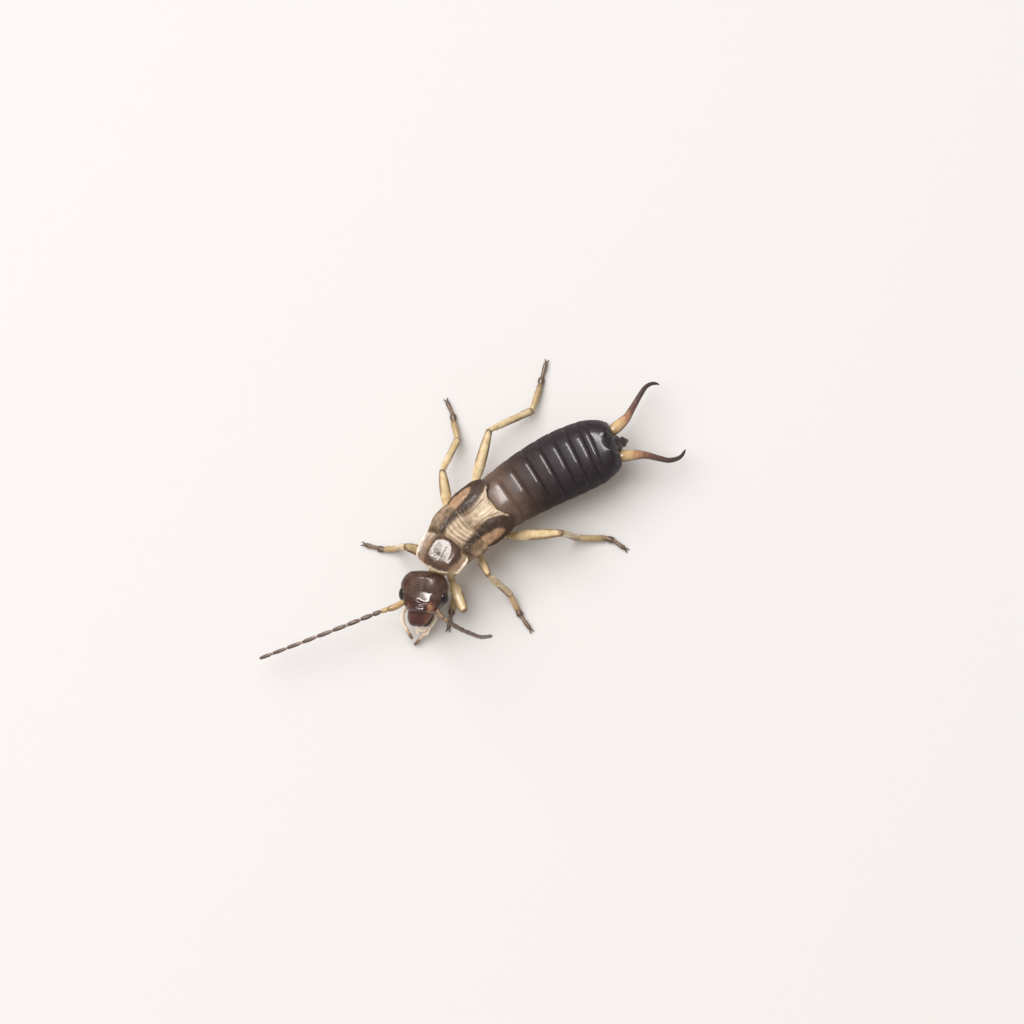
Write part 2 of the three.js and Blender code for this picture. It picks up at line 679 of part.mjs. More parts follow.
// Foot: three segments that lie flat on the floor, and two claws
function foot({ ankle, foot: line }) {
  const [first, second, tip] = line;
  const lay = (point, level) => point.clone().setZ(level);
  const points = [ankle, lay(first, FOOT_LEVEL), lay(second, FOOT_LEVEL), lay(tip, FOOT_LEVEL - 0.04)];
  const radiusAt = (t) => along(TOE_JOINTS.map((row) => row[0]), TOE_JOINTS.map((row) => row[1]), t);
  const toe = skin(limbStations(points, radiusAt, TOE_JOINTS.map((row) => row[0])), LIMB_SIDES);
  flattenAtFloor(toe);
  const forward = tip.clone().sub(second).normalize();
  const claws = [LEFT, RIGHT].map((side) => {
    const aim = forward.clone().applyAxisAngle(UP, rad(CLAW.spread * side));
    const start = lay(tip, 0.1).addScaledVector(forward, -0.12);
    const end = lay(tip, 0.04).addScaledVector(aim, CLAW.length);
    return skin(limbStations([start, end], (t) => CLAW.radius * (1.2 - 0.7 * t), evenRows(3)), 6);
  });
  claws.forEach(flattenAtFloor);
  return joined(toe, ...claws);
}

// Press whatever would reach under the floor flat onto it
function flattenAtFloor(geometry) {
  const place = geometry.getAttribute('position');
  for (let i = 0; i < place.count; i += 1) {
    if (place.getZ(i) < FLOOR) place.setZ(i, FLOOR);
  }
}

for (const [name, leg] of Object.entries(LEGS)) {
  const { root, trochanter, knee, ankle } = leg;
  const grown = (from, to, sizes) => skin(segment(from, to, sizes, GAP), LIMB_SIDES);
  const coxa = skin(segment(root, trochanter, COXA), LIMB_SIDES);
  const femur = skin(segment(trochanter, knee, FEMUR), LIMB_SIDES);
  const tibia = skin(segment(knee, ankle, TIBIA), LIMB_SIDES);
  add(`coxa_${name}`, cutClear(coxa, grownBlock(leg.block)), FINISH.leg);
  add(`femur_${name}`, cutClear(femur, grown(root, trochanter, COXA), ...padCutters), FINISH.leg);
  add(`tibia_${name}`, cutClear(tibia, grown(trochanter, knee, FEMUR)), FINISH.leg);
  add(`tarsus_${name}`, cutClear(foot(leg), grown(knee, ankle, TIBIA)), FINISH.foot);
}

// Origin under the middle of the whole model, on the floor

const box = new THREE.Box3().setFromObject(model);
const centre = box.getCenter(vec(0, 0, 0));
model.position.set(-centre.x, -centre.y, -box.min.z);

export default model;
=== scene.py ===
# %% [markdown]
# # An earwig nymph, life-size and still
#
# An earwig in its last stage before it is adult is about ten millimetres long. It has
# short wing pads, a soft pale thorax, an armoured abdomen of overlapping rings and a pair
# of plain, slender forceps. The solids from the CAD step are loaded first, as a frame
# that says how big each part is and where it sits. Everything after that is drawn in
# millimetres on the animal's own lines and turned to metres at the very end, because
# numbers such as 0.3 are far easier to judge than 0.0003.

# %% Load the solids
import math

import bpy
import numpy as np
from mathutils import Matrix, Vector


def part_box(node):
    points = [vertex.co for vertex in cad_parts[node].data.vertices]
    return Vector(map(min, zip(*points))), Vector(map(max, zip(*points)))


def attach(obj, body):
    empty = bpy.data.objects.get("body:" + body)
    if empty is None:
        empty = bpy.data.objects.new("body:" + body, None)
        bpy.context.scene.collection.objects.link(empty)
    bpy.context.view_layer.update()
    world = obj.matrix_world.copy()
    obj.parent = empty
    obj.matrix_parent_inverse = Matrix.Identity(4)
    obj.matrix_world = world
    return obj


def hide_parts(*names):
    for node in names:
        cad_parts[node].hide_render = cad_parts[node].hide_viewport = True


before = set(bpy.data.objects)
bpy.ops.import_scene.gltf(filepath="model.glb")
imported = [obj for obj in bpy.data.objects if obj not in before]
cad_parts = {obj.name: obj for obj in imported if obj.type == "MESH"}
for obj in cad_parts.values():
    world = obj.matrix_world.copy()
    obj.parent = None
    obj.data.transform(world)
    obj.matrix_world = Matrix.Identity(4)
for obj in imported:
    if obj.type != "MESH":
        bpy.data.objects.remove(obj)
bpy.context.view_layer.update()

MM = 0.001
print("solids:", len(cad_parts))

# %% [markdown]
# ## The two frames that carry every shape
#
# The body bends sideways, so a point on it is given by its distance along a bent line,
# its distance to the animal's left and its height. The head is turned, nods and rolls,
# so it has a frame of its own. Two small functions turn these numbers into places, and
# each part can then be described as if the animal lay straight.

# %% Body line and head frame
WAIST = (0.05, -0.02)          # where thorax and abdomen meet
TURN_AT = [-3.2, -2.0, -1.0, 0.0, 5.4]         # millimetres behind the waist
TURN = [-26.0, -13.0, 0.0, 4.0, 24.0]          # degrees by which the body turns there
LINE_AT = np.linspace(-4.0, 6.4, 2081)


def running_total(values):
    steps = (values[1:] + values[:-1]) / 2 * (LINE_AT[1] - LINE_AT[0])
    total = np.concatenate([[0.0], np.cumsum(steps)])
    return total - np.interp(0.0, LINE_AT, total)


line_turn = np.radians(np.interp(LINE_AT, TURN_AT, TURN))
LINE_X = WAIST[0] + running_total(np.sin(line_turn))
LINE_Y = WAIST[1] + running_total(np.cos(line_turn))


def on_body(distance, leftward, height):
    distance, leftward, height = np.broadcast_arrays(distance, leftward, height)
    turn = np.radians(np.interp(distance, TURN_AT, TURN))
    x = np.interp(distance, LINE_AT, LINE_X) + leftward * np.cos(turn)
    y = np.interp(distance, LINE_AT, LINE_Y) - leftward * np.sin(turn)
    return np.stack([x, y, height], -1)


HEAD_BACK = np.array([0.25, -3.37, 1.42])
HEAD_SWING, HEAD_NOD, HEAD_ROLL = 42, 12, -8   # degrees
HEAD_TURN = (
    Matrix.Rotation(math.radians(HEAD_SWING), 3, "Z")
    @ Matrix.Rotation(math.radians(HEAD_NOD), 3, "X")
    @ Matrix.Rotation(math.radians(HEAD_ROLL), 3, "Y")
)
HEAD_AXES = np.array([HEAD_TURN @ Vector(v) for v in ((0, -1, 0), (1, 0, 0), (0, 0, 1))])


def on_head(forward, leftward, upward):
    parts = np.broadcast_arrays(forward, leftward, upward)
    return HEAD_BACK + np.stack(parts, -1) @ HEAD_AXES


EYE = {"along": 0.84, "across": 0.7, "up": 0.04}
low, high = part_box("eye_left")
eye_centre = np.array((low + high) / 2) / MM
SHIFT = eye_centre - on_head(EYE["along"], EYE["across"], EYE["up"])
print("the solids' origin lies at", np.round(SHIFT, 4), "mm from the lines' own")

# %% [markdown]
# ## Small tools for lofted shapes
#
# An insect is mostly made of tubes and plates. A tube is a row of rings along a line, and
# a plate is a pair of grids, one outside and one inside, joined round the rim. Both come
# out as lists of points and faces, with a few numbers on each point, such as how far
# along the part it lies. The materials read those numbers later, so a colour can fade
# from root to tip without any picture.

# %% Smooth curves through a few values
def hermite(u, span, start, end, start_slope, end_slope):
    first = (1 + 2 * u) * (1 - u) ** 2 * start + u * (1 - u) ** 2 * span * start_slope
    return first + (u * u * (3 - 2 * u) * end + u * u * (u - 1) * span * end_slope)


def smooth(stops, values, at):
    x = np.asarray(stops, float)
    y = np.asarray(values, float)
    t = np.clip(at, x[0], x[-1])
    slope = np.diff(y) / np.diff(x)
    product = slope[1:] * slope[:-1]
    total = slope[1:] + slope[:-1]
    inner = np.where(product > 0, 2 * product / np.where(total == 0, 1, total), 0)
    tangent = np.concatenate([[slope[0]], inner, [slope[-1]]])
    i = np.clip(np.searchsorted(x, t, "right") - 1, 0, len(x) - 2)
    span = x[i + 1] - x[i]
    return hermite((t - x[i]) / span, span, y[i], y[i + 1], tangent[i], tangent[i + 1])


def step_up(edge0, edge1, x):
    t = np.clip((x - edge0) / (edge1 - edge0), 0, 1)
    return t * t * (3 - 2 * t)


def hump(x, centre, width):
    return np.exp(-(((x - centre) / width) ** 2))


def unit(v):
    return v / np.linalg.norm(v, axis=-1, keepdims=True)

# %% Lines through points, measured by their own length
LINE_STEPS = 500


def line_through(points):
    p = np.asarray(points, float)
    gaps = np.linalg.norm(np.diff(p, axis=0), axis=1) ** 0.5
    knots = np.concatenate([[0.0], np.cumsum(gaps)])
    tangent = np.gradient(p, knots, axis=0)
    fine = np.linspace(0, knots[-1], LINE_STEPS)
    i = np.clip(np.searchsorted(knots, fine, "right") - 1, 0, len(knots) - 2)
    span = (knots[i + 1] - knots[i])[:, None]
    u = (fine - knots[i])[:, None] / span
    places = hermite(u, span, p[i], p[i + 1], tangent[i], tangent[i + 1])
    lengths = np.linalg.norm(np.diff(places, axis=0), axis=1)
    return places, np.concatenate([[0.0], np.cumsum(lengths)])


def place_on(line, distance):
    places, lengths = line
    return np.stack([np.interp(distance, lengths, places[:, k]) for k in range(3)], -1)


def aim_on(line, distance):
    reach = line[1][-1] * 0.01
    return unit(place_on(line, distance + reach) - place_on(line, distance - reach))

# %% Parts: points, faces and the numbers on the points
def outwards(vertices, faces):
    volume = 0.0
    for face in faces:
        a = vertices[face[0]]
        for k in range(1, len(face) - 1):
            volume += np.dot(a, np.cross(vertices[face[k]], vertices[face[k + 1]]))
    return faces if volume > 0 else [face[::-1] for face in faces]


def part_from_rings(rings, **marks):
    rows, sides = rings.shape[:2]
    vertices = np.concatenate([rings.reshape(-1, 3), [rings[0].mean(0)], [rings[-1].mean(0)]])
    here = np.arange(rows - 1)[:, None] * sides + np.arange(sides)
    beside = np.arange(rows - 1)[:, None] * sides + (np.arange(sides) + 1) % sides
    quads = np.stack([here, beside, beside + sides, here + sides], -1).reshape(-1, 4)
    faces = quads.tolist()
    last = (rows - 1) * sides
    for k in range(sides):
        after = (k + 1) % sides
        faces.append([rows * sides, after, k])
        faces.append([rows * sides + 1, last + k, last + after])
    numbers = {}
    for name, grid in marks.items():
        grid = np.broadcast_to(grid, (rows, sides))
        numbers[name] = np.concatenate([grid.ravel(), [grid[0].mean()], [grid[-1].mean()]])
    return {"vertices": vertices, "faces": outwards(vertices, faces), "marks": numbers}

# %% Plates and joined parts
def part_from_plate(outer, inner, **marks):
    rows, columns = outer.shape[:2]
    vertices = np.concatenate([outer.reshape(-1, 3), inner.reshape(-1, 3)])
    count = rows * columns
    corner = np.arange(rows - 1)[:, None] * columns + np.arange(columns - 1)
    quads = [corner, corner + 1, corner + 1 + columns, corner + columns]
    top = np.stack(quads, -1).reshape(-1, 4)
    faces = top.tolist() + (top[:, ::-1] + count).tolist()
    rim = list(range(columns))
    rim += [r * columns + columns - 1 for r in range(1, rows)]
    rim += [(rows - 1) * columns + c for c in range(columns - 2, -1, -1)]
    rim += [r * columns for r in range(rows - 2, 0, -1)]
    for a, b in zip(rim, rim[1:] + rim[:1]):
        faces.append([b, a, a + count, b + count])
    numbers = {}
    for name, grid in marks.items():
        numbers[name] = np.tile(np.broadcast_to(grid, (rows, columns)).ravel(), 2)
    return {"vertices": vertices, "faces": outwards(vertices, faces), "marks": numbers}


def merged(parts):
    vertices = np.concatenate([part["vertices"] for part in parts])
    names = sorted({name for part in parts for name in part["marks"]})
    faces = []
    marks = {name: [] for name in names}
    start = 0
    for part in parts:
        faces += [[v + start for v in face] for face in part["faces"]]
        empty = np.zeros(len(part["vertices"]))
        for name in names:
            marks[name].append(part["marks"].get(name, empty))
        start += len(part["vertices"])
    marks = {name: np.concatenate(values) for name, values in marks.items()}
    return {"vertices": vertices, "faces": faces, "marks": marks}


def mark_all(part, name, value):
    part["marks"][name] = np.full(len(part["vertices"]), float(value))

# %% From a part to a Blender object
def linked(name, data):
    made = bpy.data.objects.new(name, data)
    bpy.context.collection.objects.link(made)
    return made


def build(name, part, material):
    mesh = bpy.data.meshes.new(name)
    places = (part["vertices"] + SHIFT) * MM
    mesh.from_pydata(places.tolist(), [], part["faces"])
    for mark, values in part["marks"].items():
        layer = mesh.attributes.new(mark, "FLOAT", "POINT")
        layer.data.foreach_set("value", np.asarray(values, np.float32))
    mesh.shade_smooth()
    mesh.materials.append(material)
    return linked(name, mesh)


def finish(piece, slot, *nodes):
    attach(piece, "root")
    if nodes:
        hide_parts(*nodes)
    print(piece.name, "-", len(piece.data.polygons), "faces")

# %% A tube with rounded ends along a line
UP = np.array([0.0, 0.0, 1.0])
DOME_ROWS = 6


def flow_marks(aim):
    return {"flow_x": aim[..., 0], "flow_y": aim[..., 1], "flow_z": aim[..., 2]}


def tube_part(line, at, half, thick=None, dome=(0.08, 0.08), rows=28, sides=24, hint=UP):
    total = line[1][-1]
    dome = np.minimum(dome, total * 0.45)
    turn = np.linspace(0.12, np.pi / 2, DOME_ROWS)
    start = dome[0] * (1 - np.cos(turn))
    end = total - dome[1] * (1 - np.cos(turn[::-1]))
    middle = np.linspace(start[-1], end[0], rows)[1:-1]
    s = np.concatenate([start, middle, end])
    shrink = np.ones_like(s)
    shrink[:DOME_ROWS] = np.sin(turn)
    shrink[-DOME_ROWS:] = np.sin(turn[::-1])
    aim = aim_on(line, s)
    left = unit(np.cross(aim, hint))
    above = np.cross(left, aim)
    angle = np.linspace(0, 2 * np.pi, sides, endpoint=False)
    wide = (smooth(at, half, s / total) * shrink)[:, None]
    high = (smooth(at, half if thick is None else thick, s / total) * shrink)[:, None]
    rings = place_on(line, s)[:, None] + (wide * np.cos(angle))[..., None] * left[:, None]
    rings = rings + (high * np.sin(angle))[..., None] * above[:, None]
    return part_from_rings(
        rings, along=(s / total)[:, None], around=(angle / (2 * np.pi))[None],
        **flow_marks(aim[:, None]),
    )


# Painted shade: darker towards the two sides of a tube as seen from above, where its outline shows
# darker.
def edge_shade_of(part):
    return np.abs(np.cos(part["marks"]["around"] * 2 * np.pi))

# %% [markdown]
# ## Materials for chitin
#
# Insect cuticle is a thin layered resin: brown where it is thick and hard, straw-coloured
# and slightly see-through where it is thin or young. So each finish mixes two or three
# colours by the numbers that the parts carry, breaks the borders up with noise, and adds
# very fine relief, because a real shell is never quite smooth. A thin clear coat gives
# the tight highlights, and subsurface light gives the soft parts their glow. The model is
# in metres, so every pattern scale is given per millimetre.

# %% Node helpers
GLOW_REACH = 0.15              # how far light travels under the skin


def paint(code):
    rgb = [int(code[k:k + 2], 16) / 255 for k in (1, 3, 5)]
    linear = [c / 12.92 if c <= 0.04045 else ((c + 0.055) / 1.055) ** 2.4 for c in rgb]
    return (*linear, 1.0)


def node(tree, kind, values=None, **settings):
    made = tree.nodes.new(kind)
    for key, value in settings.items():
        setattr(made, key, value)
    for key, value in (values or {}).items():
        socket = made.inputs[key]
        if isinstance(value, bpy.types.NodeSocket):
            tree.links.new(value, socket)
        else:
            socket.default_value = value
    return made


def shader(name, roughness, coat, glow=0.0, specular=0.5, coat_rough=0.12):
    material = bpy.data.materials.new(name)
    material.use_nodes = True
    tree = material.node_tree
    surface = tree.nodes["Principled BSDF"]
    numbers = {
        "Roughness": roughness, "Coat Weight": coat, "Coat Roughness": coat_rough,
        "Specular IOR Level": specular, "Subsurface Weight": glow,
        "Subsurface Scale": GLOW_REACH * MM, "Subsurface Radius": (1.0, 0.75, 0.5),
    }
    for key, value in numbers.items():
        surface.inputs[key].default_value = value
    return material, tree, surface

# %% Patterns, ranges and colour ramps
def mark(tree, name):
    return node(tree, "ShaderNodeAttribute", attribute_name=name).outputs["Fac"]


def noise(tree, per_mm, detail=3.0):
    place = node(tree, "ShaderNodeTexCoord").outputs["Object"]
    values = {"Vector": place, "Scale": per_mm / MM, "Detail": detail}
    return node(tree, "ShaderNodeTexNoise", values).outputs["Fac"]


def pits(tree, per_mm):
    place = node(tree, "ShaderNodeTexCoord").outputs["Object"]
    values = {"Vector": place, "Scale": per_mm / MM}
    return node(tree, "ShaderNodeTexVoronoi", values).outputs["Distance"]


def spread(tree, value, from_low, from_high, to_low=0.0, to_high=1.0):
    values = {0: value, 1: from_low, 2: from_high, 3: to_low, 4: to_high}
    made = node(tree, "ShaderNodeMapRange", values, interpolation_type="SMOOTHSTEP")
    return made.outputs["Result"]


def maths(tree, operation, a, b):
    return node(tree, "ShaderNodeMath", {0: a, 1: b}, operation=operation).outputs[0]


def ramp(tree, value, *stops):
    made = node(tree, "ShaderNodeValToRGB", {"Fac": value})
    elements = made.color_ramp.elements
    while len(elements) < len(stops):
        elements.new(0.5)
    for element, (place, colour) in zip(elements, sorted(stops)):
        element.position = place
        element.color = paint(colour)
    return made.outputs["Color"]

# %% Mixing colours and grain
def blend(tree, factor, a, b):
    values = {"Factor": factor, 6: a, 7: b}
    return node(tree, "ShaderNodeMix", values, data_type="RGBA").outputs[2]


def tint(tree, colour, other, where, low, high, most=1.0):
    other = paint(other) if isinstance(other, str) else other
    return blend(tree, spread(tree, where, low, high, 0.0, most), colour, other)


def mottled(tree, per_mm, *stops):
    return ramp(tree, noise(tree, per_mm), *stops)


def ragged(tree, value, amount, per_mm):
    shift = spread(tree, noise(tree, per_mm), 0.3, 0.7, -amount, amount)
    return maths(tree, "ADD", value, shift)


def ragged_mark(tree, name, amount, per_mm):
    return ragged(tree, mark(tree, name), amount, per_mm)


def dress(tree, surface, colour, height, depth):
    tree.links.new(colour, surface.inputs["Base Color"])
    values = {"Height": height, "Distance": depth * MM, "Strength": 1.0}
    bump = node(tree, "ShaderNodeBump", values)
    tree.links.new(bump.outputs["Normal"], surface.inputs["Normal"])


def two_grains(tree, broad_per_mm, broad_depth, fine_per_mm):
    broad = spread(tree, noise(tree, broad_per_mm, 2.0), 0.3, 0.7, 0.0, broad_depth)
    return maths(tree, "ADD", broad, noise(tree, fine_per_mm, 4.0))

# %% Head and eyes
def head_finish():
    material, tree, surface = shader("head shell", roughness=0.26, coat=0.5, specular=0.28)
    shine = mark(tree, "shine")
    face = mark(tree, "face")
    tree.links.new(spread(tree, shine, 0.0, 1.0, 0.1, 0.6), surface.inputs["Coat Weight"])
    colour = mottled(tree, 5.0, (0.3, "#3e2a20"), (0.5, "#4a352a"), (0.75, "#5a4234"))
    colour = tint(tree, colour, "#3b1f18", face, 0.1, 0.9)
    colour = tint(tree, colour, "#a87654", ragged_mark(tree, "cheek", 0.22, 7.0), 0.15, 1.1)
    colour = tint(tree, colour, "#5f483a", mark(tree, "seam"), 0.2, 0.9, 0.35)
    rough = spread(tree, noise(tree, 14.0), 0.3, 0.7, 0.22, 0.36)
    brink = maths(tree, "MULTIPLY", face, maths(tree, "SUBTRACT", 1.0, shine))
    rough = maths(tree, "ADD", rough, maths(tree, "MULTIPLY", brink, 0.5))
    tree.links.new(rough, surface.inputs["Roughness"])
    fine = maths(tree, "ADD", noise(tree, 28.0, 4.0), spread(tree, pits(tree, 22.0), 0, 0.3))
    dress(tree, surface, colour, fine, 0.0025)
    return material


def eye_finish():
    material, tree, surface = shader("eyes", roughness=0.16, coat=0.6)
    colour = mottled(tree, 8.0, (0.3, "#1a1516"), (0.7, "#33292c"))
    tree.links.new(colour, surface.inputs["Base Color"])
    return material


HEAD_SHELL = head_finish()
EYE_SHELL = eye_finish()

# %% Mouth
def mouth_finish():
    material, tree, surface = shader("mouth shell", roughness=0.24, coat=0.5, glow=0.12)
    stops = (0.0, "#3a1f18"), (0.35, "#4e281d"), (0.75, "#46241a"), (1.0, "#2c1914")
    colour = ramp(tree, ragged_mark(tree, "along", 0.08, 8.0), *stops)
    warm = ragged_mark(tree, "warm", 0.2, 8.0)
    colour = tint(tree, colour, "#7d4d32", warm, 0.1, 1.1, 0.6)
    dress(tree, surface, colour, noise(tree, 30.0), 0.003)
    return material


def palp_finish():
    material, tree, surface = shader("pale mouthparts", roughness=0.38, coat=0.2, glow=0.35)
    stops = (0.0, "#cdb592"), (0.4, "#f0e4d4"), (0.7, "#e2d0b8"), (0.86, "#9a7c64"), (1, "#4a3630")
    colour = ramp(tree, ragged_mark(tree, "along", 0.04, 9.0), *stops)
    dress(tree, surface, colour, noise(tree, 30.0), 0.003)
    return material


MOUTH_SHELL = mouth_finish()
PALE_MOUTH = palp_finish()

# %% Thorax, wing pads and soft skin
def shield_finish():
    material, tree, surface = shader("neck shield", 0.36, coat=0.48, glow=0.2, coat_rough=0.16)
    tan = mottled(tree, 4.0, (0.3, "#7f644a"), (0.6, "#9a7f62"), (0.8, "#b0967a"))
    brown = mottled(tree, 4.0, (0.3, "#452f22"), (0.6, "#573e2e"), (0.8, "#6b4f3b"))
    pale = mottled(tree, 6.0, (0.3, "#c9b498"), (0.7, "#dccbb2"))
    # The disc mark brings the disc's own dark brown and also painted shade on the flange of the
    # animal's right.
    colour = tint(tree, tan, brown, ragged_mark(tree, "disc", 0.16, 3.0), 0.15, 0.85)
    colour = tint(tree, colour, pale, ragged_mark(tree, "rim", 0.15, 6.0), 0.4, 1.0, 0.85)
    dress(tree, surface, colour, two_grains(tree, 5.0, 1.6, 26.0), 0.01)
    return material


def back_finish():
    material, tree, surface = shader("back plates", 0.46, coat=0.08, glow=0.25, specular=0.25)
    tan = mottled(tree, 5.0, (0.3, "#64503c"), (0.55, "#7c644c"), (0.8, "#947b5f"))
    pale = mottled(tree, 6.0, (0.3, "#ae967a"), (0.7, "#d8c4a8"))
    dark = mottled(tree, 5.0, (0.3, "#32241b"), (0.6, "#423024"), (0.85, "#563f30"))
    rust = mottled(tree, 6.0, (0.3, "#927258"), (0.7, "#b8926f"))
    # Besides the plates' own colours, the pale mark holds painted highlights on the folds and at
    # the rear of the pale strip, and the dark mark painted shade in the creases.
    colour = tint(tree, tan, pale, ragged_mark(tree, "pale", 0.16, 3.5), 0.05, 0.95)
    colour = tint(tree, colour, dark, ragged_mark(tree, "dark", 0.16, 3.0), 0.05, 0.95)
    colour = tint(tree, colour, rust, ragged_mark(tree, "patch", 0.22, 3.5), 0.1, 0.9, 0.85)
    dress(tree, surface, colour, two_grains(tree, 4.5, 1.5, 22.0), 0.01)
    return material


def skin_finish():
    material, tree, surface = shader("soft skin", roughness=0.45, coat=0.1, glow=0.4)
    colour = mottled(tree, 4.0, (0.3, "#c9ae82"), (0.6, "#dcc59c"), (0.85, "#ead9b8"))
    colour = tint(tree, colour, "#b08d62", ragged_mark(tree, "plate", 0.12, 6.0), 0.3, 0.75)
    # Painted shade: the skin is darker in its folds.
    colour = tint(tree, colour, "#9c7f5e", mark(tree, "fold"), 0.2, 0.9)
    dress(tree, surface, colour, noise(tree, 18.0, 5.0), 0.012)
    return material


SHIELD_SHELL = shield_finish()
BACK_SHELL = back_finish()
SOFT_SKIN = skin_finish()

# %% Abdomen and forceps
def abdomen_finish():
    material, tree, surface = shader("abdomen shell", 0.3, 0.45, specular=0.2, coat_rough=0.15)
    coat = spread(tree, mark(tree, "top"), 0.2, 0.8, 0.0, 0.32)
    tree.links.new(coat, surface.inputs["Coat Weight"])
    distance = mark(tree, "distance")
    # The light front stop is partly the front rings' own brown and partly a painted sheen.
    stops = (0.0, "#6a5345"), (0.3, "#43332b"), (0.6, "#2a1e1f"), (1, "#221b21")
    colour = ramp(tree, ragged(tree, spread(tree, distance, 0.0, 3.4), 0.06, 3.0), *stops)
    colour = tint(tree, colour, "#46362f", noise(tree, 6.0, 4.0), 0.45, 0.8, 0.4)
    colour = tint(tree, colour, "#6a564a", mark(tree, "rim"), 0.2, 0.9, 0.25)
    colour = tint(tree, colour, "#8a6b4c", ragged_mark(tree, "belly", 0.1, 4.0), 0.3, 0.8)
    rough = spread(tree, distance, 0.4, 1.6, 0.36, 0.5)
    tree.links.new(rough, surface.inputs["Roughness"])
    dress(tree, surface, colour, noise(tree, 9.0, 2.0), 0.004)
    return material


def forceps_finish():
    material, tree, surface = shader("forceps shell", roughness=0.25, coat=0.45, glow=0.12)
    root = (0.0, "#b49464"), (0.16, "#d0ae7f"), (0.28, "#a87a5a")
    blade = (0.4, "#6b483c"), (0.6, "#4a3632"), (1, "#33292a")
    colour = ramp(tree, ragged_mark(tree, "along", 0.05, 4.0), *root, *blade)
    # Painted shade along the blades' sides.
    colour = tint(tree, colour, "#4d3a31", mark(tree, "edge"), 0.6, 1.0, 0.75)
    dress(tree, surface, colour, noise(tree, 26.0, 4.0), 0.004)
    return material


ABDOMEN_SHELL = abdomen_finish()
FORCEPS_SHELL = forceps_finish()

# %% Legs, feet and feelers
def leg_finish():
    material, tree, surface = shader("leg skin", roughness=0.34, coat=0.3, glow=0.35)
    colour = mottled(tree, 4.0, (0.3, "#c3aa7e"), (0.55, "#d4be95"), (0.8, "#e0cfac"))
    joint = ragged_mark(tree, "joint", 0.12, 6.0)
    colour = tint(tree, colour, "#634a34", joint, 0.35, 0.95, 0.85)
    # Painted shade along the sides of each leg length.
    edge = ragged_mark(tree, "edge", 0.06, 5.0)
    colour = tint(tree, colour, "#75583a", edge, 0.42, 0.95, 0.9)
    dress(tree, surface, colour, noise(tree, 26.0, 4.0), 0.005)
    return material


def foot_finish():
    material, tree, surface = shader("feet", roughness=0.38, coat=0.2, glow=0.2)
    long_joint = (0.0, "#bda47a"), (0.34, "#a98f68"), (0.48, "#66503f")
    last_joints = (0.62, "#5c4737"), (0.8, "#725b47"), (1, "#46362c")
    colour = ramp(tree, ragged_mark(tree, "along", 0.05, 6.0), *long_joint, *last_joints)
    dress(tree, surface, colour, noise(tree, 30.0), 0.004)
    return material


def feeler_finish(name, *stops):
    material, tree, surface = shader(name, roughness=0.4, coat=0.15, glow=0.12)
    colour = ramp(tree, ragged_mark(tree, "along", 0.04, 7.0), *stops)
    # Painted shade: the left feeler's mark darkens its colours.
    colour = tint(tree, colour, "#6f5a4a", mark(tree, "dusk"), 0.0, 1.0, 0.85)
    dress(tree, surface, colour, noise(tree, 30.0, 4.0), 0.004)
    return material


LEG_SKIN = leg_finish()
FOOT_SKIN = foot_finish()
FEELER_ROOT = feeler_finish(
    "feeler base", (0.0, "#a58a5c"), (0.3, "#c2a674"), (0.85, "#b08f62"), (1, "#8a6c4e"),
)
FEELER_SKIN = feeler_finish(
    "feelers", (0.0, "#cbb99d"), (0.05, "#a8947c"), (0.12, "#6f5b50"), (0.93, "#57453d"),
    (1, "#b5a38a"),
)
# A darker copy of the feeler colours, painted shade for the left feeler.
FEELER_SHADED = feeler_finish(
    "shaded feeler", (0.0, "#75645a"), (0.12, "#5a4941"), (0.5, "#4f403a"), (0.9, "#4f403a"),
    (1, "#6c5c52"),
)
print("materials:", len(bpy.data.materials))

# %% [markdown]
# ## Abdomen: eight overlapping rings
#
# Each ring of the abdomen is a hard hoop whose rear edge lies over the front of the next
# one, like the rings of a telescope. One function makes all eight: it runs along a short
# profile, which starts under the ring before it, rises to the full width and ends in a
# lip that turns in. Along each side runs the line where the back plate laps over the
# belly plate. Working from a rule keeps the rings a family, while their lengths and
# widths follow the animal.

# %% Abdomen sizes
RING_LENGTHS = [0.73, 0.62, 0.61, 0.58, 0.56, 0.5, 0.47, 0.33]
END_RING_LENGTH = 0.93
ABDOMEN_FRONT = 0.04
ABDOMEN_AT = [0, 0.6, 1.9, 3.4, 4.3, 4.9, 5.4]
ABDOMEN_HALF = [1.04, 1.1, 1.22, 1.3, 1.26, 1.08, 0.76]
ABDOMEN_LEVEL = 1.4
ABDOMEN_HIGH = [0.67, 0.71, 0.78, 0.83, 0.82, 0.72, 0.5]
RING_SIDES = 120
LAP_ANGLE = -0.42              # where the back plate ends, below the widest line

ring_angle = np.linspace(0, 2 * np.pi, RING_SIDES, endpoint=False)
sine = np.sin(ring_angle)
cosine = np.cos(ring_angle)
belly = step_up(LAP_ANGLE + 0.06, LAP_ANGLE - 0.02, sine)


def power(v, exponent):
    return np.sign(v) * np.abs(v) ** exponent


def body_rings(distance, half, high, low, level, square=0.92):
    across = power(cosine, square)[None] * half[:, None]
    rise = power(sine, square)[None] * np.where(sine > 0, high[:, None], low[:, None])
    level = np.broadcast_to(level, distance.shape)
    return on_body(distance[:, None], across, level[:, None] + rise)


def body_aim(distance):
    ahead = on_body(distance + 0.05, 0.0, 0.0)
    return unit(ahead - on_body(distance, 0.0, 0.0))[:, None]

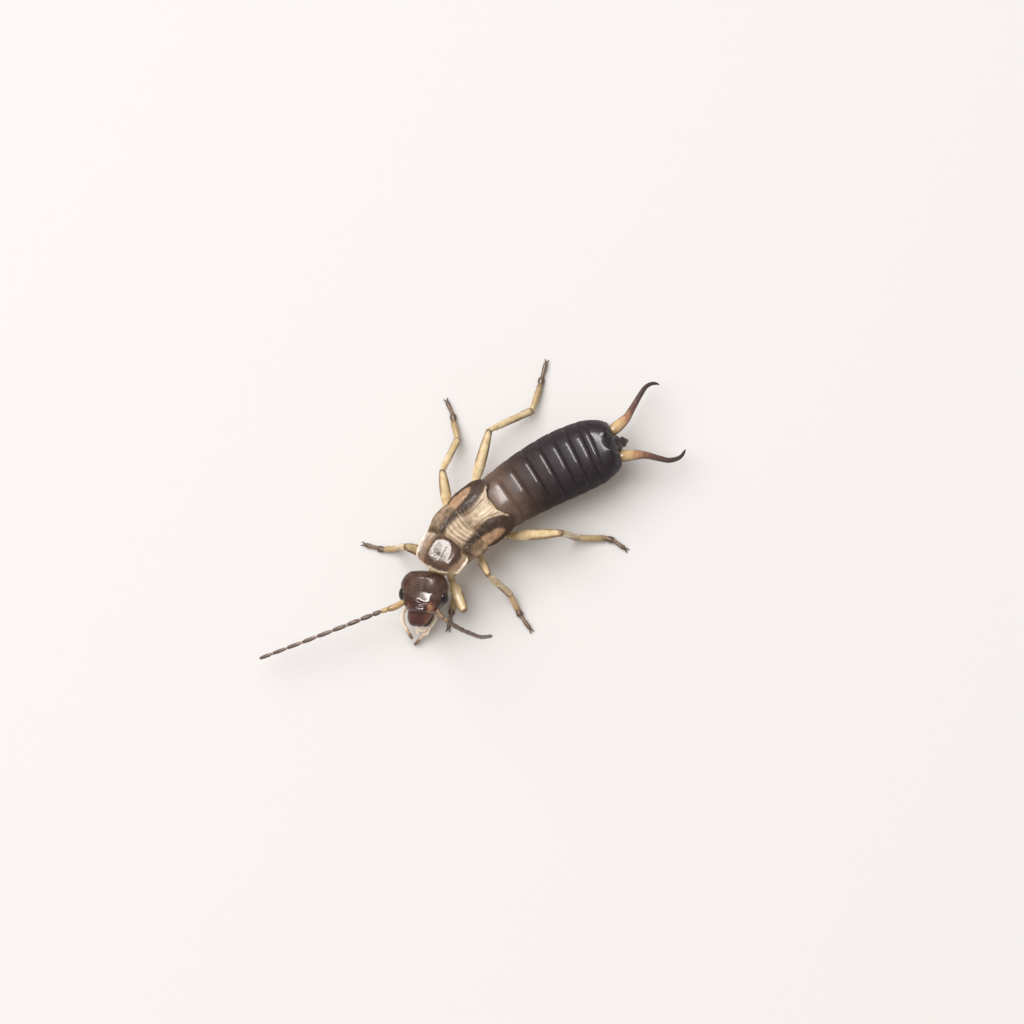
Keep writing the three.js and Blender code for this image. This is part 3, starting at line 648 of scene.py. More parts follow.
# %% One ring of the abdomen
PROFILE = [                    # share of the length, distance beyond it, height of the skin
    (0, -0.06, -0.1), (0, 0.0, -0.07), (0, 0.04, -0.04), (0.08, 0.02, -0.024),
    (0.16, 0.02, -0.014), (0.3, 0.0, -0.008), (0.45, 0.0, -0.003), (1, -0.15, 0.0),
    (1, -0.115, -0.001), (1, -0.09, -0.0025), (1, -0.065, -0.005), (1, -0.04, -0.009),
    (1, -0.018, -0.014), (1, 0.002, -0.02), (1, 0.02, -0.028), (1, 0.036, -0.038),
    (1, 0.046, -0.048), (1, 0.05, -0.06), (1, 0.04, -0.075),
]
FLARE = [0.0, 0.03, 0.075, 0.09, 0.09, 0.085, 0.08, 0.06]      # lift of each rear edge
GLAND_RINGS = (3, 4)           # a low knob on each side hides a scent gland


def abdomen_ring(front, rear, number):
    along, beyond, sink = np.array(PROFILE).T
    distance = front + (rear - front) * along + beyond
    half = smooth(ABDOMEN_AT, ABDOMEN_HALF, distance) + sink
    height = smooth(ABDOMEN_AT, ABDOMEN_HIGH, distance) + sink
    rings = body_rings(distance, half, height, height, ABDOMEN_LEVEL)
    centre = on_body(distance, 0.0, ABDOMEN_LEVEL)[:, None]
    lip = np.where(along < 1, 0, -sink)[:, None]
    lip = lip * (0.75 - 0.75 * step_up(0.2, 0.75, sine))
    rings = rings + unit(rings - centre) * lip[..., None]
    full = np.clip((sink + 0.09) / 0.04, 0, 1)[:, None]
    share = np.clip((distance - front) / (rear - front), 0, 1)[:, None]
    flare = FLARE[number - 1] * (share - 0.4)
    rings[..., 2] += flare * step_up(0.3, 0.95, sine)[None]
    inset = 0.03 * belly[None] + 0.03 * hump(sine, LAP_ANGLE, 0.05)[None]
    if number in GLAND_RINGS:
        inset = inset - 0.02 * hump(sine, 0.35, 0.12) * hump(share, 0.55, 0.22)
    inset = inset + 0.012 * hump(sine, 0.25, 0.06) * hump(share, 0.5, 0.3)
    rings = centre + (rings - centre) * (1 - inset * full)[..., None]
    rim = step_up(-0.02, -0.045, sink)[:, None] * step_up(0.5, 0.9, share)
    return part_from_rings(
        rings, distance=distance[:, None], rim=rim, belly=belly[None], top=sine[None],
        hairy=0.12 + step_up(0.6, 0.95, share), **flow_marks(body_aim(distance)),
    )


abdomen_parts = []
ring_front = ABDOMEN_FRONT
for number, length in enumerate(RING_LENGTHS, 1):
    ring_part = abdomen_ring(ring_front, ring_front + length, number)
    abdomen_parts.append(ring_part)
    ring_piece = build(f"ring_{number}", ring_part, ABDOMEN_SHELL)
    finish(ring_piece, "abdomen_shell", f"abdomen_segment_{number}")
    ring_front += length
END_FRONT = ring_front
END_REAR = ring_front + END_RING_LENGTH
print("the rings end at", round(END_FRONT, 2), "mm, the end plate at", round(END_REAR, 2))

# %% [markdown]
# ## End plate and tail point
#
# The last ring is one broad shiny plate that slopes down to the roots of the forceps. Two
# small pits, a shallow furrow along the middle and a low knob over each root catch the
# light. They are pushed into the same kind of loft by adding soft bumps and hollows, each
# a bell curve at its own place, which is simpler to steer than sculpting. The small tail
# point between the forceps is made the same way.

# %% End plate
END_BUMPS = [                  # height, to the left, along the body, half width, half length
    (0.06, 0.27, 4.98, 0.09, 0.1), (0.06, -0.3, 4.98, 0.09, 0.1),
    (0.045, 0.48, 5.14, 0.1, 0.1), (0.045, -0.5, 5.14, 0.1, 0.1),
    (-0.1, 0.14, 4.99, 0.08, 0.08), (-0.1, -0.16, 4.99, 0.08, 0.08),
    (-0.06, 0.34, 5.12, 0.08, 0.1), (-0.06, -0.3, 5.12, 0.08, 0.1),
]


def rounded_rows(straight_until, straight, curved, first, last):
    arc = np.sin(np.linspace(first, last, curved))
    straight_rows = np.linspace(0, straight_until, straight)
    return np.concatenate([straight_rows, straight_until + (1 - straight_until) * arc])


def bumps(table, leftward, along):
    rise = 0.0
    for height, left, at, width, length in table:
        rise = rise + height * hump(leftward, left, width) * hump(along, at, length)
    return rise


end_share = rounded_rows(0.86, 34, 14, 0.1, 1.57)
end_at = END_FRONT - 0.08 + (END_RING_LENGTH + 0.02) * end_share
end_half = smooth(ABDOMEN_AT, ABDOMEN_HALF, end_at) - 0.04 * step_up(0.12, 0.0, end_share) - 0.01
end_top = smooth([0, 0.2, 0.54, 0.7, 0.86, 1], [0.75, 0.79, 0.822, 0.8, 0.66, 0.42], end_share)
end_low = end_half * smooth([0, 0.5, 1], [0.64, 0.58, 0.44], end_share)
end_close = np.sqrt(np.clip(1 - (np.clip(end_share - 0.9, 0, 1) / 0.102) ** 2, 0.06, 1))
end_level = ABDOMEN_LEVEL - 0.06 * step_up(0.5, 1.0, end_share)
end_rings = body_rings(
    end_at, end_half * (0.3 + 0.7 * end_close), end_top * end_close, end_low * end_close,
    end_level, square=0.86,
)
across = cosine[None] * end_half[:, None]
back_side = step_up(0.0, 0.5, sine)[None]
place = end_at[:, None]
furrow = 0.04 * hump(across, 0.0, 0.07) * step_up(4.7, 4.95, place)
end_rings[..., 2] += (bumps(END_BUMPS, across, place) - furrow) * back_side
end_part = part_from_rings(
    end_rings, distance=place, belly=belly[None], top=sine[None],
    rim=step_up(0.97, 1.0, end_share)[:, None],
    hairy=0.2 + step_up(0.7, 0.9, end_share)[:, None], **flow_marks(body_aim(end_at)),
)
abdomen_parts.append(end_part)
finish(build("end_plate", end_part, ABDOMEN_SHELL), "abdomen_shell", "abdomen_last_segment")

# %% Tail point
TAIL_BUMPS = [
    (0.05, 0.17, 5.3, 0.07, 0.1), (0.05, -0.17, 5.3, 0.07, 0.1), (-0.05, 0.0, 5.36, 0.06, 0.14),
]
TAIL_LENGTH = 0.68
TAIL_SUNK = 0.26               # its part inside the end plate

tail_share = rounded_rows(0.8, 22, 8, 0.15, 1.55)
tail_at = END_REAR - TAIL_SUNK + TAIL_LENGTH * tail_share
tail_stops = [0, 0.3, 0.5, 0.6, 0.72, 0.86, 1]
tail_half = smooth(tail_stops, [0.26, 0.3, 0.27, 0.19, 0.2, 0.12, 0.03], tail_share)
tail_high = smooth([0, 0.35, 0.6, 0.8, 1], [0.2, 0.26, 0.18, 0.14, 0.03], tail_share)
tail_rings = body_rings(tail_at, tail_half, tail_high, tail_high, 1.42 - 0.12 * tail_share, 0.8)
tail_across = cosine[None] * tail_half[:, None]
tail_rings[..., 2] += bumps(TAIL_BUMPS, tail_across, tail_at[:, None]) * back_side
tail_part = part_from_rings(tail_rings, along=0.94 + 0.06 * tail_share[:, None])
finish(build("tail_point", tail_part, FORCEPS_SHELL), "forceps", "pygidium")

# %% [markdown]
# ## Forceps
#
# The forceps of a nymph are two plain, wide-set rods. Each is broad and flat at the root,
# narrows in the first third and then runs slim to a hooked, pointed tip. A tube along a
# smooth line does this well, with its width and its thickness given apart.

# %% Forceps
CERCUS_LINE = {                # millimetres backwards and outwards from the root
    "right": [(0, 0), (0.49, 0.29), (0.9, 0.64), (1.28, 0.99), (1.58, 1.23), (1.8, 1.31),
              (1.99, 1.29), (2.14, 1.2)],
    "left": [(0, 0), (0.34, 0.05), (0.78, 0.2), (1.17, 0.43), (1.52, 0.62), (1.83, 0.65),
             (2.04, 0.59), (2.27, 0.39)],
}
CERCUS_AT = [0, 0.1, 0.22, 0.36, 0.55, 0.75, 0.9, 1]
CERCUS_HALF = [0.2, 0.225, 0.2, 0.145, 0.115, 0.095, 0.07, 0.04]
CERCUS_THICK = [0.17, 0.19, 0.17, 0.135, 0.11, 0.09, 0.07, 0.04]
CERCUS_SPREAD = 0.53
CERCUS_LEVEL = 1.3
CERCUS_DROP = 0.3              # from root to tip
CERCUS_SUNK = 0.26             # its part inside the end plate
SIDES = {"left": 1, "right": -1}

root_turn = math.radians(np.interp(END_REAR + 0.1, TURN_AT, TURN))
root_back = np.array([math.sin(root_turn), math.cos(root_turn), 0])
root_left = np.array([math.cos(root_turn), -math.sin(root_turn), 0])


def forceps_blade(name, side):
    root = on_body(END_REAR + 0.1, 0.0, 0.0)
    points = []
    for k, (backward, outward) in enumerate(CERCUS_LINE[name]):
        level = CERCUS_LEVEL - CERCUS_DROP * k / 7
        reach = side * (CERCUS_SPREAD + outward)
        points.append(root + root_back * backward + root_left * reach + UP * level)
    points[0] = points[0] - root_back * CERCUS_SUNK - root_left * side * 0.05
    blade = tube_part(line_through(points), CERCUS_AT, CERCUS_HALF, CERCUS_THICK,
                      dome=(0.12, 0.16), rows=60, sides=32)
    # The blades' sides are marked for painted shade.
    blade["marks"]["edge"] = edge_shade_of(blade)
    return blade


for name, side in SIDES.items():
    blade = build(f"forceps_{name}", forceps_blade(name, side), FORCEPS_SHELL)
    finish(blade, "forceps", f"cercus_{name}")

# %% [markdown]
# ## One soft skin for neck and thorax
#
# Under its plates the thorax is a bag of folded, pale skin that runs without a break from
# the head to the abdomen. The four solids of neck and thorax are therefore replaced by a
# single loft. Its sections swell at each pair of legs and are pinched between them, and
# fine folds cross the pinches, as they do where a real insect bends.

# %% Soft skin from the head to the abdomen
SKIN = [                       # along the body, half width, top, bottom
    (-3.5, 0.3, 1.5, 1.1), (-3.2, 0.32, 1.52, 1.08), (-3.02, 0.36, 1.6, 1.04),
    (-2.85, 0.5, 1.76, 1.0), (-2.5, 0.6, 1.95, 0.96), (-2.15, 0.6, 2.0, 0.96),
    (-1.95, 0.56, 1.98, 1.0), (-1.75, 0.84, 2.04, 0.92), (-1.4, 1.0, 2.12, 0.88),
    (-1.1, 0.96, 2.1, 0.88), (-0.95, 0.88, 2.04, 0.92), (-0.75, 0.98, 2.1, 0.84),
    (-0.4, 1.06, 2.14, 0.8), (0, 1.0, 2.06, 0.76), (0.3, 0.96, 2.02, 0.78),
]
NECK_REAR = -3.0
NECK_LEVEL = 1.36
RING_FOLDS = (-3.18, -3.08, -2.98, -1.98, -1.9, -1.02, -0.94)
SIDE_FOLDS = (-2.7, -2.3, -1.66, -1.2, -0.66, -0.25)
BREAST_PLATES = (-2.5, -1.42, -0.5)

skin_stops, skin_half, skin_top, skin_low = np.array(SKIN).T
skin_at = np.linspace(skin_stops[0], skin_stops[-1], 150)
top = smooth(skin_stops, skin_top, skin_at)
low = smooth(skin_stops, skin_low, skin_at)
level = (top + low) / 2 - 0.05
half = smooth(skin_stops, skin_half, skin_at)
skin_rings = body_rings(skin_at, half, top - level, level - low, level)

neck_share = step_up(NECK_REAR, -3.45, skin_at)[:, None, None]
neck_back = on_body(NECK_REAR, 0.0, NECK_LEVEL)
neck_reach = (NECK_REAR - skin_at)[:, None]
neck_line = neck_back + unit(on_head(0.2, 0, 0) - neck_back) * neck_reach
straight = on_body(skin_at, 0.0, NECK_LEVEL)
skin_rings = skin_rings + neck_share * (neck_line - straight)[:, None]

folds = sum(hump(skin_at, at, 0.035) for at in RING_FOLDS)
side_folds = sum(hump(skin_at, at, 0.03) for at in SIDE_FOLDS)
depth = 0.05 * folds[:, None] + 0.03 * side_folds[:, None] * hump(sine, -0.1, 0.5)
centre = skin_rings.mean(1, keepdims=True)
skin_rings = centre + (skin_rings - centre) * (1 - depth)[..., None]
plate = sum(hump(skin_at, at, 0.3) for at in BREAST_PLATES)[:, None] * hump(cosine, 0, 0.5)
# The depth of the folds is handed to the finish as painted shade.
skin_part = part_from_rings(
    skin_rings, fold=np.clip(depth * 22, 0, 1), plate=plate * (sine < -0.3),
)
skin_piece = build("body_skin", skin_part, SOFT_SKIN)
finish(skin_piece, "underside_skin", "neck", "prothorax", "mesothorax", "metathorax")

# %% [markdown]
# ## Shield, back plates and wing pads
#
# Over the soft skin lie thin plates. The shield behind the head has a dark raised disc
# and pale, nearly clear flanges that turn up a little. Behind it come two narrower plates
# with the wing pads at their sides. All of them are grids of points in body distance and
# width. The plates and pads lie on one arched surface and share one pattern, so that
# neighbours fit without any measuring, and the shield rises to a height of its own.

# %% Arched surface of the back
BACK_HALF = 1.32
BACK_EDGE_LEVEL = 1.55
BACK_SQUARE = 2.3              # 2 is an ellipse, more is squarer
PLATE_LIFT = 0.012             # how far plates stand clear of the arch


def back_height(leftward, crown):
    share = np.clip(np.abs(leftward) / BACK_HALF, 0, 0.995)
    arch = (1 - share ** BACK_SQUARE) ** (1 / BACK_SQUARE)
    return BACK_EDGE_LEVEL + (crown - BACK_EDGE_LEVEL) * arch


def plate_part(distance, leftward, height, thickness, **marks):
    outer = on_body(distance, leftward, height)
    inner = on_body(distance, leftward * 0.985, height - thickness)
    return part_from_plate(outer, inner, **marks)


def oval_reach(leftward, distance, half_width, half_length, middle):
    across = np.abs(leftward / half_width) ** 1.3
    along = np.abs((distance - middle) / half_length) ** 1.3
    return np.hypot(across, along) ** (1 / 1.3)

# %% Neck shield
SHIELD_ASIDE = 0.06            # the shield sits a little to the right
DISC = {"half_width": 0.56, "half_length": 0.56, "middle": -2.5}
SHIELD_AT = [0, 0.05, 0.14, 0.4, 0.8, 0.93, 1]
SHIELD_HALF = [0.6, 0.76, 0.86, 0.92, 0.96, 0.93, 0.84]

u = np.linspace(0, 1, 70)[:, None]
v = np.linspace(-1, 1, 90)[None]
front_edge = -3.18 + 0.14 * np.abs(v) ** 2.5
rear_edge = -1.93 - 0.2 * np.abs(v) ** 2.5
distance = front_edge + (rear_edge - front_edge) * u
half_width = smooth(SHIELD_AT, SHIELD_HALF, u)
leftward = v * half_width
side = np.abs(leftward)
border = np.minimum(half_width - side, u * 1.2)

disc_reach = oval_reach(leftward, distance, **DISC)
disc = step_up(1.2, 0.75, disc_reach)
height = 2.12 - 0.1 * step_up(-2.75, -3.2, distance) - 0.03 * step_up(-2.3, -1.95, distance)
height += 0.09 * disc
height += 0.02 * np.clip(1 - disc_reach ** 2, 0, 1)
height += 0.05 * leftward * disc
height -= 0.3 * np.clip(side - 0.45, 0, 1) ** 1.15

flat_left = leftward + 0.06    # the flattened spot on the disc catches the lamp
flat_along = distance + 2.44
flat = 2.225 + 0.098 * flat_left + 0.01 * flat_along
flat -= 0.04 * flat_left ** 2
flat -= 0.03 * flat_along ** 2
share = step_up(1.15, 0.75, np.hypot(flat_left / 0.4, flat_along / 0.5))
height = height * (1 - share) + flat * share
height -= 0.005 * hump(leftward, 0, 0.03) * hump(distance, -2.6, 0.35)
height -= 0.014 * hump(np.hypot(leftward + 0.14, distance + 2.66), 0, 0.07)
height += 0.03 * step_up(0.14, 0.02, border) * step_up(0.5, 0.8, side)
height -= 0.05 * step_up(0.1, 0.0, u)
thickness = 0.07 - 0.03 * step_up(0.7, 0.95, side)

shade_half = np.where(leftward < 0, 0.5, 0.49 + 0.13 * step_up(-2.9, -2.3, distance))
disc_dark_and_painted_shade = step_up(1.32, 0.86, oval_reach(leftward, distance, shade_half, 0.68, -2.58))
# Painted shade: the flange on the animal's right is darkened beyond the disc's own dark colour.
disc_dark_and_painted_shade = np.maximum(disc_dark_and_painted_shade, 0.38 * step_up(-0.35, -0.6, leftward))
shield_part = plate_part(
    distance, leftward - SHIELD_ASIDE, height, thickness,
    rim=step_up(0.16, 0.02, border), disc=disc_dark_and_painted_shade,
)
finish(build("neck_shield", shield_part, SHIELD_SHELL), "pronotum_shield", "pronotum")

# %% One pattern for all plates of the back
FOLDS = (-1.8, -1.63, -1.46, -1.3)
SEAM = (-1.12, -1.04)          # where the fore half of the pattern ends and the hind begins


def fore_pattern(distance, side, bowed):
    # Paler on the ridges of the folds is a painted highlight; darker in their creases is painted
    # shade.
    ridge_highlight = sum(hump(bowed, at, 0.05) for at in FOLDS)
    crease_shade = sum(hump(bowed, at + 0.09, 0.035) for at in FOLDS)
    inside = step_up(0.62, 0.3, side)
    pale = inside * (0.45 + 0.5 * ridge_highlight) + 0.4 * hump(side, 1.02, 0.1)
    band = 0.85 * hump(side, 0.58, 0.18) * step_up(-2.1, -1.85, distance)
    dark = np.maximum(band, 0.75 * hump(side, 0.75, 0.25) * hump(distance, -1.95, 0.2))
    return np.clip(pale, 0, 1), np.maximum(dark, 0.3 * crease_shade * inside)


def hind_pattern(distance, side):
    strip = smooth([-1.2, -0.6, 0.0, 0.3], [0.32, 0.28, 0.42, 0.62], distance)
    # Towards its rear the pale strip turns paler and gets a pale line along its edge: partly the
    # plate's own paleness, partly a painted highlight.
    glow = step_up(-1.0, -0.3, distance)
    pale = (0.45 + 0.55 * glow) * step_up(strip + 0.04, strip - 0.12, side)
    pale = np.maximum(pale, 0.8 * hump(side, strip + 0.03, 0.05) * glow)
    return np.clip(pale, 0, 1), step_up(strip + 0.02, strip + 0.2, side)


def pad_patch(distance, side):
    start = smooth([-1.2, -0.6, -0.1], [0.72, 0.8, 0.98], distance)
    patch = step_up(start - 0.12, start + 0.08, side) * step_up(1.18, 1.0, side)
    return patch * step_up(-1.4, -1.0, distance) * step_up(0.0, -0.35, distance)


def bow(distance, leftward):
    return distance - 0.4 * leftward ** 2


def back_pattern(distance, leftward, border):
    side = np.abs(leftward)
    hind = step_up(*SEAM, distance)
    fore_pale, fore_dark = fore_pattern(distance, side, bow(distance, side))
    hind_pale, hind_dark = hind_pattern(distance, side)
    patch = pad_patch(distance, side)
    rim = step_up(0.1, 0.03, border)
    pale = fore_pale * (1 - hind) + hind_pale * hind
    dark = fore_dark * (1 - hind) + np.maximum(hind_dark * (1 - patch), rim) * hind
    return {"pale": pale, "dark": np.clip(dark, 0, 1), "patch": patch * hind * (1 - rim)}

# %% Back plates of the middle and the hind thorax
PLATE_THICK = 0.06


def back_plate(front, rear, sweep, crown, width):
    u = np.linspace(0, 1, 90)[:, None]
    v = np.linspace(-1, 1, 70)[None]
    rear_line = rear + sweep * np.abs(v) ** 1.4
    distance = front + (rear_line - front) * u
    leftward = v * width * np.ones_like(u)
    height = back_height(leftward, crown) + PLATE_LIFT
    height -= 0.16 * step_up(-1.75, -2.15, distance)
    bowed = bow(distance, leftward)
    height += 0.022 * sum(hump(bowed, at, 0.055) for at in FOLDS)
    height += 0.02 * hump(bowed, -0.72, 0.1)
    height -= 0.03 * hump(bowed, -0.95, 0.07)
    strands = sum(hump(np.abs(leftward), at, 0.03) for at in (0.12, 0.22, 0.33))
    height += 0.012 * strands * step_up(-0.8, -0.4, distance)
    height -= 0.05 * step_up(0.12, 0.0, u)
    height -= 0.012 * hump(leftward, 0, 0.06) * hump(u, 0.6, 0.25)
    marks = back_pattern(distance, leftward, np.ones_like(distance))
    lip = 0.6 * step_up(0.93, 1.0, u)
    marks["pale"] = np.maximum(marks["pale"], lip)
    marks["dark"] = marks["dark"] * (1 - lip)
    return plate_part(distance, leftward, height, PLATE_THICK, **marks)


middle_part = back_plate(-2.06, -1.1, sweep=0.04, crown=2.18, width=0.66)
finish(build("back_plate_middle", middle_part, BACK_SHELL), "thorax_skin")
hind_part = back_plate(-1.16, -0.02, sweep=0.26, crown=2.2, width=0.58)
finish(build("back_plate_hind", hind_part, BACK_SHELL), "thorax_skin")

# %% Wing pads
FORE_PAD = {
    "front": -2.3, "rear": -0.95, "lift": 0.01, "dip": 0.16, "flush": 0.04,
    "at": [0, 0.3, 0.55, 0.8, 0.93, 1], "inner": [0.42, 0.44, 0.48, 0.58, 0.72, 0.88],
    "outer": [0.92, 1.06, 1.17, 1.17, 1.1, 0.96],
}
HIND_PAD = {
    "front": -1.2, "rear": 0.43, "lift": 0.018, "dip": 0.06, "flush": 0.0,
    "at": [0, 0.35, 0.7, 0.88, 0.96, 1], "inner": [0.42, 0.36, 0.4, 0.52, 0.64, 0.76],
    "outer": [1.08, 1.22, 1.22, 1.13, 1.02, 0.86],
}
PAD_CROWN = 2.19
PAD_THICK = 0.08
RIGHT_PADS_NARROWER = 0.05     # at the rear end


def wing_pad(sizes, side):
    u = np.sin(np.linspace(0, np.pi / 2, 70))[:, None] ** 0.9
    v = np.linspace(0, 1, 48)[None]
    inner = smooth(sizes["at"], sizes["inner"], u)
    outer = smooth(sizes["at"], sizes["outer"], u)
    if side < 0:
        outer = outer - RIGHT_PADS_NARROWER * u
    leftward = inner + (outer - inner) * v
    distance = sizes["front"] + (sizes["rear"] - sizes["front"]) * u * np.ones_like(v)
    border = np.minimum(np.minimum(v, 1 - v) * (outer - inner), (1 - u) * 0.9)
    height = back_height(leftward, PAD_CROWN) + sizes["lift"] * step_up(0.0, 0.2, border)
    height -= 0.05 * step_up(0.6, 1.0, u)
    height -= sizes["dip"] * step_up(0.36, 0.0, u)
    height += PLATE_LIFT
    height -= sizes["flush"] * step_up(0.2, 0.0, v)
    height -= 0.015 * hump(v, 0.5, 0.12) * step_up(0.8, 0.4, u)
    marks = back_pattern(distance, leftward, border)
    return plate_part(distance, side * leftward, height, PAD_THICK, **marks)


for name, side in SIDES.items():
    fore = build(f"forewing_pad_{name}_plate", wing_pad(FORE_PAD, side), BACK_SHELL)
    finish(fore, "wing_pads", f"forewing_pad_{name}")
    hind = build(f"hindwing_pad_{name}_plate", wing_pad(HIND_PAD, side), BACK_SHELL)
    finish(hind, "wing_pads", f"hindwing_pad_{name}")

# %% [markdown]
# ## Head
#
# The head is heart-shaped from above and gently arched. A fine seam runs along the top
# and forks to the feelers, the brow swells between the eyes, and each feeler stands in a
# shallow socket. The capsule is a loft in the head's own frame, and the seam, brow and
# sockets are bell-shaped bumps and hollows measured in millimetres on it. Two small
# places on the brow are made nearly flat, because only a flat spot gives a broad glint.

# %% Shell of the head
HEAD_LENGTH = 1.5
HEAD_HALF = 0.89
HEAD_DEPTH = 0.44
HEAD_SUNK = 0.07               # how far the capsule reaches back over the neck
CLOSING_ROWS = 10
head_stops = [0, 0.05, 0.17, 0.36, 0.58, 0.78, 0.92, 1]
head_wide = [0.46, 0.66, 0.88, 1, 0.97, 0.82, 0.66, 0.52]
head_high = [0.32, 0.6, 0.98, 1.03, 1.1, 1.35, 1.28, 0.76]
head_deep = [0.6, 0.8, 0.95, 1, 0.98, 0.9, 0.84, 0.74]

close = np.linspace(0.15, np.pi / 2, CLOSING_ROWS)
closing = 0.06 * (1 - np.cos(close))
middle_rows = np.linspace(0.06, 0.94, 62)[1:-1]
head_t = np.concatenate([closing, middle_rows, 1 - closing[::-1]])
head_close = np.ones_like(head_t)
head_close[:CLOSING_ROWS] = 0.25 + 0.75 * np.sin(close)
head_close[-CLOSING_ROWS:] = 0.25 + 0.75 * np.sin(close[::-1])


def head_size(size, values):
    return (size * smooth(head_stops, values, head_t) * head_close)[:, None]


head_angle = np.linspace(0, 2 * np.pi, 128, endpoint=False)
hs, hc = np.sin(head_angle)[None], np.cos(head_angle)[None]
forward = (head_t[:, None] * (HEAD_LENGTH + HEAD_SUNK) - HEAD_SUNK) * np.ones_like(hc)
leftward = power(hc, 0.88) * head_size(HEAD_HALF, head_wide)
high = head_size(HEAD_DEPTH, head_high)
deep = head_size(HEAD_DEPTH, head_deep)
upward = power(hs, 0.88) * np.where(hs > 0, high, deep)

# %% Seam, brow, sockets and colours of the head
FEELER_SOCKET = (1.08, 0.47)   # forward, to each side
TEMPLE = (0.45, 0.3)
BROW_FLATS = ((0.12, 0.86, 0.25, 0.22), (-0.02, 1.31, 0.2, 0.07))      # left, forward, sizes

above = step_up(0.05, 0.35, hs)
side = np.abs(leftward)
fork = 0.62 + np.clip(side, 0, 0.5) * 0.75
seam = hump(leftward, 0, 0.012) * step_up(0.66, 0.58, forward)
seam += hump(forward, fork, 0.016) * step_up(0.45, 0.3, side)
seam = np.clip(seam, 0, 1) * above
brow = 0.015 * hump(leftward, 0, 0.3) * hump(forward, 1.0, 0.2)
brow += 0.06 * hump(leftward, 0, 0.28) * hump(forward, 1.32, 0.14)
socket = np.hypot(forward - FEELER_SOCKET[0], side - FEELER_SOCKET[1])
socket_dip = -0.03 * hump(socket, 0, 0.12)
groove = -0.035 * hump(forward, 1.15, 0.03) * step_up(0.36, 0.28, side)
upward = upward + above * (brow + socket_dip + groove) - 0.008 * seam
temple = 0.015 * hump(np.hypot(forward - TEMPLE[0], side - TEMPLE[1]), 0, 0.2)
upward += above * temple
for at_left, at_forward, half_left, half_forward in BROW_FLATS:
    from_left = leftward - at_left
    from_forward = forward - at_forward
    level = np.interp(at_forward, forward[:, 0], upward[:, 32])
    flat = level + 0.25 * from_forward - 0.045 * from_left
    flat -= 0.1 * from_left ** 2
    flat -= 0.1 * from_forward ** 2
    share = step_up(1.3, 0.7, np.hypot(from_left / half_left, from_forward / half_forward)) * above
    upward = upward * (1 - share) + flat * share
cheek = hump(np.hypot((forward - 1.27) / 1.6, side - 0.39), 0.0, 0.16) * step_up(-0.6, 0.1, hs)
head_part = part_from_rings(
    on_head(forward, leftward, upward), seam=seam,
    face=step_up(0.62, 1.15, forward) * above,
    cheek=cheek * np.where(leftward > 0, 1.0, 0.35),
    shine=step_up(0.5, 0.66, forward) * step_up(1.48, 1.4, forward),
)
finish(build("head_capsule", head_part, HEAD_SHELL), "head_shell", "head")

# %% [markdown]
# ## Eyes
#
# An insect's eye is a dome of some three hundred small lenses in a honeycomb. A ball of
# triangles turned into its dual has exactly that pattern: every corner becomes a six-sided
# face. Geometry Nodes does it in four steps: ball, dual, push each face out, and shrink its
# top, so that each lens stands up with a rounded edge.

# %% Tools for node trees
def new_tree(name, sizes):
    tree = bpy.data.node_groups.new(name, "GeometryNodeTree")
    face = tree.interface
    face.new_socket("Geometry", in_out="OUTPUT", socket_type="NodeSocketGeometry")
    face.new_socket("Geometry", in_out="INPUT", socket_type="NodeSocketGeometry")
    for label, (kind, value) in sizes.items():
        socket = face.new_socket(label, in_out="INPUT", socket_type="NodeSocket" + kind)
        if value is not None:
            socket.default_value = value
    face.new_socket("Material", in_out="INPUT", socket_type="NodeSocketMaterial")
    return tree, node(tree, "NodeGroupInput").outputs


def close_tree(tree, geometry, material):
    coated = {"Geometry": geometry, "Material": material}
    painted = node(tree, "GeometryNodeSetMaterial", coated)
    out = node(tree, "NodeGroupOutput")
    tree.links.new(painted.outputs[0], out.inputs[0])
    return tree


def realized(tree, geometry):
    return node(tree, "GeometryNodeRealizeInstances", {"Geometry": geometry}).outputs[0]


def softened(tree, geometry):
    values = {"Geometry": geometry, "Shade Smooth": True}
    return node(tree, "GeometryNodeSetShadeSmooth", values).outputs[0]


def named(tree, label, kind="FLOAT"):
    made = node(tree, "GeometryNodeInputNamedAttribute", {"Name": label}, data_type=kind)
    return made.outputs[0]


def stored(tree, geometry, label, value, kind="FLOAT", domain="POINT"):
    values = {"Geometry": geometry, "Name": label, "Value": value}
    made = node(tree, "GeometryNodeStoreNamedAttribute", values, data_type=kind, domain=domain)
    return made.outputs[0]


def run_tree(name, tree, mesh, **inputs):
    carrier = linked(name, mesh)
    modifier = carrier.modifiers.new(tree.name, "NODES")
    modifier.node_group = tree
    for item in tree.interface.items_tree:
        if item.item_type == "SOCKET" and item.in_out == "INPUT":
            key = item.name.lower()
            if key in inputs:
                modifier[item.identifier] = inputs[key]
    scene_now = bpy.context.evaluated_depsgraph_get()
    made = bpy.data.meshes.new_from_object(carrier.evaluated_get(scene_now))
    carrier.modifiers.remove(modifier)
    bpy.data.objects.remove(carrier)
    made.name = name
    return linked(name, made)

# %% Tree for a faceted eye
EYE_SIZE = (0.185, 0.265, 0.225)
EYE_OUT = 0.035                # beyond the middle of the eye's solid
EYE_UP = 0.04


